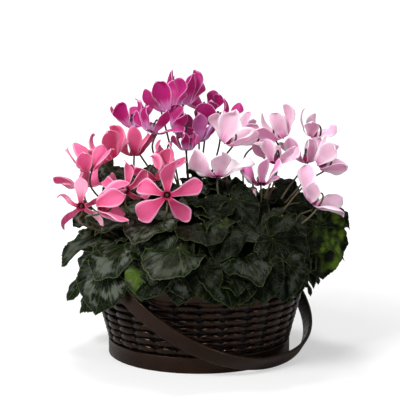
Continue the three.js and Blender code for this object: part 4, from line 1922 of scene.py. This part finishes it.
@dataclass(frozen=True)
class Plant:
    """One cyclamen: a tuber, leaves on petioles and blooms on stalks."""

    cultivar: Cultivar
    crown: tuple[float, float]
    first_seed: int
    blooms: tuple[Bloom, ...]
    buds: tuple[Bloom, ...] = ()

    TUBER_RADIUS = 16.0
    TUBER_TOP = 87.0
    TUBER_DEPTH = 22.0
    STEM_SUNK = 3.0
    OUTER_ROOTS = 12.0
    ROOT_STEP = 1.3
    STALK_ROOTS = 3.5
    PETIOLE_RADIUS = 1.3
    STALK_RADIUS = 1.05
    PETIOLE_LIFT = 20.0
    PETIOLE_ARCH = 6.0
    PETIOLE_STEPS = 14
    STALK_STEPS = 44
    STEM_SIDES = 8
    YOUNG_SEEDS = 400
    FACING_SEEDS = 700
    YOUNG_STRAY = 2.2

    def root(self, target: Vector, radius: float) -> Vector:
        """Gives where a stem leaves the top of the tuber.

        Args:
            target: the far point that it grows to.
            radius: the distance from the crown's middle.

        Returns:
            The point.
        """
        crown = Vector((*self.crown, target.z))
        start = crown + (target - crown).normalized() * radius
        start.z = self.TUBER_TOP - self.STEM_SUNK
        return start

    def in_rings(self, rings: tuple[LeafRing, ...], first_seed: int, loose: float) -> list[tuple[Leaf, int]]:
        """Lists the plant's leaves in some rings.

        Args:
            rings: the rings.
            first_seed: the seed of the first leaf.
            loose: how far the leaves stray from their ring.

        Returns:
            The leaves, each with its ring's level.
        """
        return [
            (Leaf.grown(where, azimuth, first_seed + 10 * level + number, loose), level)
            for level, where in enumerate(rings)
            for number, azimuth in enumerate(where.azimuths[self.cultivar])
        ]

    def facing_leaves(self) -> list[tuple[Leaf, int]]:
        """Lists the leaves that are placed one by one.

        Returns:
            The leaves, each with the level of its petiole.
        """
        return [
            (Leaf.facing(stance, self.first_seed + self.FACING_SEEDS + number), 1 + number % 5)
            for number, stance in enumerate(FACING_LEAVES[self.cultivar])
        ]

    def petiole(self, leaf: Leaf, level: int) -> list[Vector]:
        """Gives the route of a leaf's petiole.

        Args:
            leaf: the leaf.
            level: its ring's level.

        Returns:
            The route's points.
        """
        joint = leaf.point(0, Leaf.JOINT)
        start = self.root(joint, self.OUTER_ROOTS - self.ROOT_STEP * level)
        bend = start.lerp(joint, 0.4)
        bend.z = max(joint.z, bend.z + self.PETIOLE_LIFT) + self.PETIOLE_ARCH
        shares = [step / self.PETIOLE_STEPS for step in range(self.PETIOLE_STEPS + 1)]
        return [start * (1 - s) ** 2 + bend * (2 * s * (1 - s)) + joint * s**2 for s in shares]

    def build(self, leaf: bpy.types.Material, stem: bpy.types.Material, tuber: bpy.types.Material,
              petal: bpy.types.Material, anther: bpy.types.Material) -> None:
        """Makes the plant's pieces.

        Args:
            leaf: the finish of the blades.
            stem: the finish of petioles, stalks and sepals.
            tuber: the finish of the tuber.
            petal: the finish of the petals and tubes.
            anther: the finish of the stamens.
        """
        name = self.cultivar.value
        node = f"plant_{name}"
        blades = Shape.empty()
        young = Shape.empty()
        stems = Shape.empty()
        own = self.in_rings(LEAF_RINGS, self.first_seed, 1.0) + self.facing_leaves()
        fill = self.in_rings(FILL_RINGS, self.first_seed + self.YOUNG_SEEDS, self.YOUNG_STRAY)
        grown = [(blades, blade, level, 3, 8) for blade, level in own]
        grown += [(young, blade, level, 2, 6) for blade, level in fill]
        for shape, blade, level, samples, rings in grown:
            blade.add_to(shape, samples, rings)
            route = self.petiole(blade, level)
            radii = [self.PETIOLE_RADIUS * (1.1 - 0.25 * i / len(route)) for i in range(len(route))]
            stems.tube(route, radii, self.STEM_SIDES, draw(blade.seed + 0.15))
        for number, bloom in enumerate((*self.blooms, *self.buds)):
            self.add_stalk(stems, bloom, number)
        for bud in self.buds:
            bud.add_bud(stems, 1)
            bud.add_calyx(stems, 0)
        blades.publish(f"leaves_{name}", [leaf], "foliage", nodes=(node,))
        young.publish(f"young_leaves_{name}", [leaf], "foliage", nodes=(node,))
        stems.publish(f"stems_{name}", [stem, petal], "foliage", nodes=(node,))
        self.set_tuber(f"tuber_{name}", node, tuber)
        for number, bloom in enumerate(self.blooms, start=1):
            seed = self.first_seed + 50 + 10 * (number - 1)
            flower = Shape.empty()
            bloom.add_corolla(flower, seed)
            bloom.add_calyx(flower, 1)
            bloom.add_stamens(flower, 2)
            flower.publish(f"flower_{name}_{number:02d}", [petal, stem, anther], f"petal_{name}",
                           nodes=(f"bloom_{name}_{number:02d}",))

    def add_stalk(self, shape: Shape, bloom: Bloom, number: int) -> None:
        """Lays a flower stalk in a mesh, a little thicker where it meets the calyx.

        Args:
            shape: the mesh.
            bloom: the bloom that it carries.
            number: the bloom's place in the plant's list, from 0.
        """
        points = bloom.stalk(lambda target: self.root(target, self.STALK_ROOTS))
        shares = [step / self.STALK_STEPS for step in range(self.STALK_STEPS + 1)]
        route = [smooth_route(points, share) for share in shares]
        radii = [self.STALK_RADIUS * (1.2 - 0.25 * share + 0.5 * smooth_step(0.96, 1, share))
                 for share in shares]
        shape.tube(route, radii, self.STEM_SIDES, draw(self.first_seed + 0.25 + number))

    def set_tuber(self, name: str, node: str, material: bpy.types.Material) -> None:
        """Makes the tuber, a flattened corky ball that stands a little out of the soil.

        Args:
            name: the piece's name.
            node: the part's node that it stands for.
            material: the tuber's finish.
        """
        middle = self.TUBER_TOP - self.TUBER_DEPTH / 2
        radius = self.TUBER_RADIUS
        shape = Shape.empty()

        def place(across: float, along: float) -> Spot:
            """Places a point of the tuber.

            Args:
                across: the share of the way round the tuber.
                along: the share of the way from pole to pole.

            Returns:
                The point and its finish triple.
            """
            slope = math.pi * (along - 0.5)
            turn = 2 * math.pi * across
            out = math.cos(slope)
            way = Vector((math.cos(turn) * out, math.sin(turn) * out, math.sin(slope)))
            lump = 0.05 * noise.noise(way * 2.5 + Vector((*self.crown, 0)))
            rough = 1 + lump if abs(along - 0.5) < 0.499 else 1
            point = Vector((radius * way.x, radius * way.y, self.TUBER_DEPTH / 2 * way.z)) * rough
            return point + Vector((*self.crown, middle)), Vector((across, along, 0))

        shape.sheet(28, 14, place)
        shape.publish(name, [material], "foliage", nodes=(node,))


LEAF_FINISHES = {
    Cultivar.ROSE: LeafFinish(
        "rose_leaf", silver=(0.115, 0.128, 0.104), vein=(0.045, 0.062, 0.02), margin=(0.08, 0.1, 0.05),
        silver_share=0.64, silver_spread=0.42, shine=0.07),
    Cultivar.MAGENTA: LeafFinish(
        "magenta_leaf", dark=(0.0012, 0.0022, 0.0007), green=(0.0034, 0.0064, 0.0014),
        silver=(0.13, 0.145, 0.12), vein=(0.022, 0.031, 0.01), margin=(0.05, 0.065, 0.03),
        silver_share=0.1, specks=0.36, shine=0.03),
    Cultivar.BLUSH: LeafFinish(
        "blush_leaf", dark=(0.0009, 0.0016, 0.0005), green=(0.0024, 0.0046, 0.001),
        silver=(0.13, 0.145, 0.12), vein=(0.018, 0.026, 0.008), margin=(0.042, 0.055, 0.022),
        silver_share=0.0, silver_spread=0.2, lime_from=0.1, lime_beyond=0.128, lime_spread=0.46,
        specks=0.42, shine=0.03),
}

PETAL_FINISHES = {
    Cultivar.ROSE: PetalFinish(
        "rose_petal", body=(0.84, 0.15, 0.31), shade=(0.74, 0.075, 0.22), base=(0.56, 0.025, 0.12),
        nose=(0.42, 0.015, 0.08), margin=(0.88, 0.36, 0.50), pale=(0.86, 0.36, 0.50),
        deep=(0.62, 0.04, 0.15), base_reach=0.45, margin_start=0.66),
    Cultivar.MAGENTA: PetalFinish(
        "magenta_petal", body=(0.44, 0.006, 0.17), shade=(0.31, 0.003, 0.12), base=(0.60, 0.30, 0.58),
        nose=(0.62, 0.40, 0.62), margin=(0.82, 0.34, 0.60), pale=(0.56, 0.24, 0.55),
        deep=(0.26, 0.002, 0.10), base_reach=0.40, margin_start=0.90),
    Cultivar.BLUSH: PetalFinish(
        "blush_petal", body=(0.87, 0.52, 0.65), shade=(0.80, 0.37, 0.55), base=(0.70, 0.17, 0.42),
        nose=(0.30, 0.010, 0.10), margin=(0.91, 0.70, 0.79), pale=(0.90, 0.66, 0.75),
        deep=(0.62, 0.16, 0.38), base_reach=0.30, margin_start=0.55),
}

WILLOW = WillowFinish("stained_willow", stain=(0.0030, 0.0013, 0.0008), bare=(0.023, 0.0100, 0.0055),
                      gloss=0.15, fibre_scale=1.0)
BENTWOOD = WillowFinish("stained_bentwood", stain=(0.0050, 0.0022, 0.0014), bare=(0.024, 0.0110, 0.0068),
                        gloss=0.2, fibre_scale=0.8)
IRON = PlainFinish("dull_iron", (0.03, 0.026, 0.024), (0.055, 0.045, 0.04), 0.42, 400.0, 0.0002, 0.8)
LINER_FILM = PlainFinish("liner_film", (0.0022, 0.0018, 0.0015), (0.004, 0.0034, 0.003), 0.7, 60.0, 0.0005)
POTTING_MIX = PlainFinish("potting_mix", (0.012, 0.008, 0.006), (0.04, 0.026, 0.017), 0.85, 320.0, 0.0012)
TUBER_CORK = PlainFinish("tuber_cork", (0.07, 0.045, 0.028), (0.035, 0.022, 0.015), 0.8, 180.0, 0.0010)
ANTHER = PlainFinish("anther", (0.06, 0.02, 0.03), (0.12, 0.06, 0.03), 0.6, 500.0, 0.0003)

ROSE = Plant(Cultivar.ROSE, (-50, -22), 100, (
    Bloom((-104, 2, 235), 0, 30, 50, 39, 0.0, 1.4),
    Bloom((-80, 46, 233), -90, 15, 35, 36),
    Bloom((-129, -52, 229), 120, 15, 35, 34),
    Bloom((-136, -8, 203), -90, 20, 70, 38, -0.6, 1.4),
    Bloom((-135, -80, 190), -100, 70, 66, 27, -1.6, 2.0),
    Bloom((-115, -99, 194), 180, 80, 28, 37),
    Bloom((-44, -46, 219), 5, 32, 40, 34, 0.0, 1.4),
    Bloom((-84, -76, 208), -90, 75, 68, 28, 0.0, 1.5),
    Bloom((-36, -100, 206), -90, 80, 74, 34, 0.2, 1.2),
    Bloom((-43, 1, 226), 180, 34, 44, 28, 1.0),
))

MAGENTA = Plant(Cultivar.MAGENTA, (-6, 52), 200, (
    Bloom((-80, 72, 265), -60, 15, 40, 38),
    Bloom((-37, 48, 288), -20, 18, 32, 38),
    Bloom((-19, 105, 290), -80, 8, 30, 41),
    Bloom((-57, 14, 266), -130, 30, 62, 32),
    Bloom((-30, 38, 263), 190, 58, 35, 28, 0.8),
    Bloom((0, 74, 248), -90, 25, 28, 33, -2.2),
    Bloom((28, 99, 267), -60, 25, 52, 33),
    Bloom((-15, 10, 244), -90, 10, 26, 24, 1.5),
    Bloom((10, 134, 276), 60, 20, 34, 28),
))

BLUSH = Plant(Cultivar.BLUSH, (54, -18), 300, (
    Bloom((31, -17, 256), 180, 35, 38, 38, -0.8),
    Bloom((60, 48, 250), 180, 45, 42, 32),
    Bloom((22, -56, 222), -90, 20, 53, 37, -1.6),
    Bloom((102, 29, 257), -10, 25, 40, 37, 0.4),
    Bloom((139, 55, 255), 180, 20, 48, 32, -0.5),
    Bloom((90, -8, 231), -120, 25, 44, 29),
    Bloom((131, 22, 228), -80, 15, 42, 36),
    Bloom((141, -22, 230), 180, 60, 38, 33),
    Bloom((73, -37, 210), -90, 30, 46, 30, 2.2),
    Bloom((130, -62, 192), 180, 42, 54, 37),
), buds=(Bloom((63, -50, 198), -90, 6, 0, 11, -1.8),))


# The studio


@dataclass(frozen=True)
class Studio:
    """A pale floor, soft light and a long lens at the photograph's angle."""

    lens: float = 131.9
    sensor: float = 36.0
    pitch: float = 9.19
    camera_at: tuple[float, float, float] = (0.0012, -1.739, 0.466)
    air: float = 0.26
    floor_reach: float = 30.0
    glow_near: float = 0.22
    glow_far: float = 1.2

    WHITE = (1.0, 1.0, 1.0)
    AIM = (0, 0, 0.18)
    LIGHTS = (
        ("key_light", (-1.2, -1.5, 1.8), 1.0, 66.0),
        ("fill_light", (1.5, -1.5, 0.9), 0.4, 9.0),
        ("top_light", (-0.2, 0.5, 2.1), 0.6, 24.0),
    )

    def build(self) -> None:
        """Makes the floor, the lights and the camera."""
        self.lay_floor()
        for light in self.LIGHTS:
            self.hang_light(*light)
        world = bpy.data.worlds.new("studio_air")
        world.use_nodes = True
        background = world.node_tree.nodes["Background"]
        Nodes(world.node_tree).set(background, Color=self.WHITE, Strength=self.air)
        bpy.context.scene.world = world
        bpy.context.scene.view_settings.view_transform = "Standard"
        self.set_camera()

    def lay_floor(self) -> None:
        """Makes a floor that reaches past the camera's view and glows white to it further out."""
        mesh = bmesh.new()
        bmesh.ops.create_grid(mesh, x_segments=8, y_segments=8, size=self.floor_reach)
        data = bpy.data.meshes.new("studio_floor")
        mesh.to_mesh(data)
        mesh.free()
        material, nodes, shader = new_material("pale_floor")
        where = nodes.where()
        tint = nodes.noise(where, 0.6, 1.0)
        seen = nodes.add("LightPath").outputs["Is Camera Ray"]
        away = nodes.add("VectorMath", operation="LENGTH")
        nodes.feed(away.inputs[0], where)
        share = nodes.step(away.outputs["Value"], self.glow_near, self.glow_far)
        glow = nodes.math("MULTIPLY_ADD", share, 0.5, 0.48)
        nodes.set(
            shader,
            Base_Color=nodes.blend(tint, (0.46, 0.46, 0.46), (0.5, 0.5, 0.5)),
            Roughness=0.7,
            Specular_IOR_Level=0.1,
            Emission_Color=self.WHITE,
            Emission_Strength=nodes.math("MULTIPLY", seen, glow),
        )
        data.materials.append(material)
        put_in_scene("studio_floor", data)

    def hang_light(self, name: str, spot: tuple[float, float, float], size: float, power: float) -> None:
        """Hangs a soft square light that faces the plants.

        Args:
            name: the light's name.
            spot: where it hangs, in metres.
            size: the side of the square, in metres.
            power: its power, in watts.
        """
        light = bpy.data.lights.new(name, "AREA")
        light.size = size
        light.energy = power
        lamp = put_in_scene(name, light)
        lamp.location = spot
        lamp.rotation_euler = (Vector(self.AIM) - Vector(spot)).to_track_quat("-Z", "Y").to_euler()

    def set_camera(self) -> None:
        """Sets the camera at the photograph's viewing angle."""
        camera = bpy.data.cameras.new("camera")
        camera.lens = self.lens
        camera.sensor_width = self.sensor
        eye = put_in_scene("camera", camera)
        eye.location = self.camera_at
        eye.rotation_euler = (math.radians(90 - self.pitch), 0, 0)
        bpy.context.scene.camera = eye


def main() -> None:
    """Builds the basket, the potting mix, the plants and the studio."""
    logging.basicConfig(level=logging.INFO, format="%(name)s: %(message)s")
    bentwood = BENTWOOD.material()
    basket = WovenBasket()
    basket.build(WILLOW.material(), bentwood)
    SwingHandle().build(bentwood, IRON.material())
    PottingMix(basket).build(LINER_FILM.material(), POTTING_MIX.material())
    cork = TUBER_CORK.material()
    stem = StemFinish("cyclamen_stem").material()
    anther = ANTHER.material()
    for plant in (ROSE, MAGENTA, BLUSH):
        leaf = LEAF_FINISHES[plant.cultivar].material()
        plant.build(leaf, stem, cork, PETAL_FINISHES[plant.cultivar].material(), anther)
    Studio().build()
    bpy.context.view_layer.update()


if __name__ == "__main__":
    main()
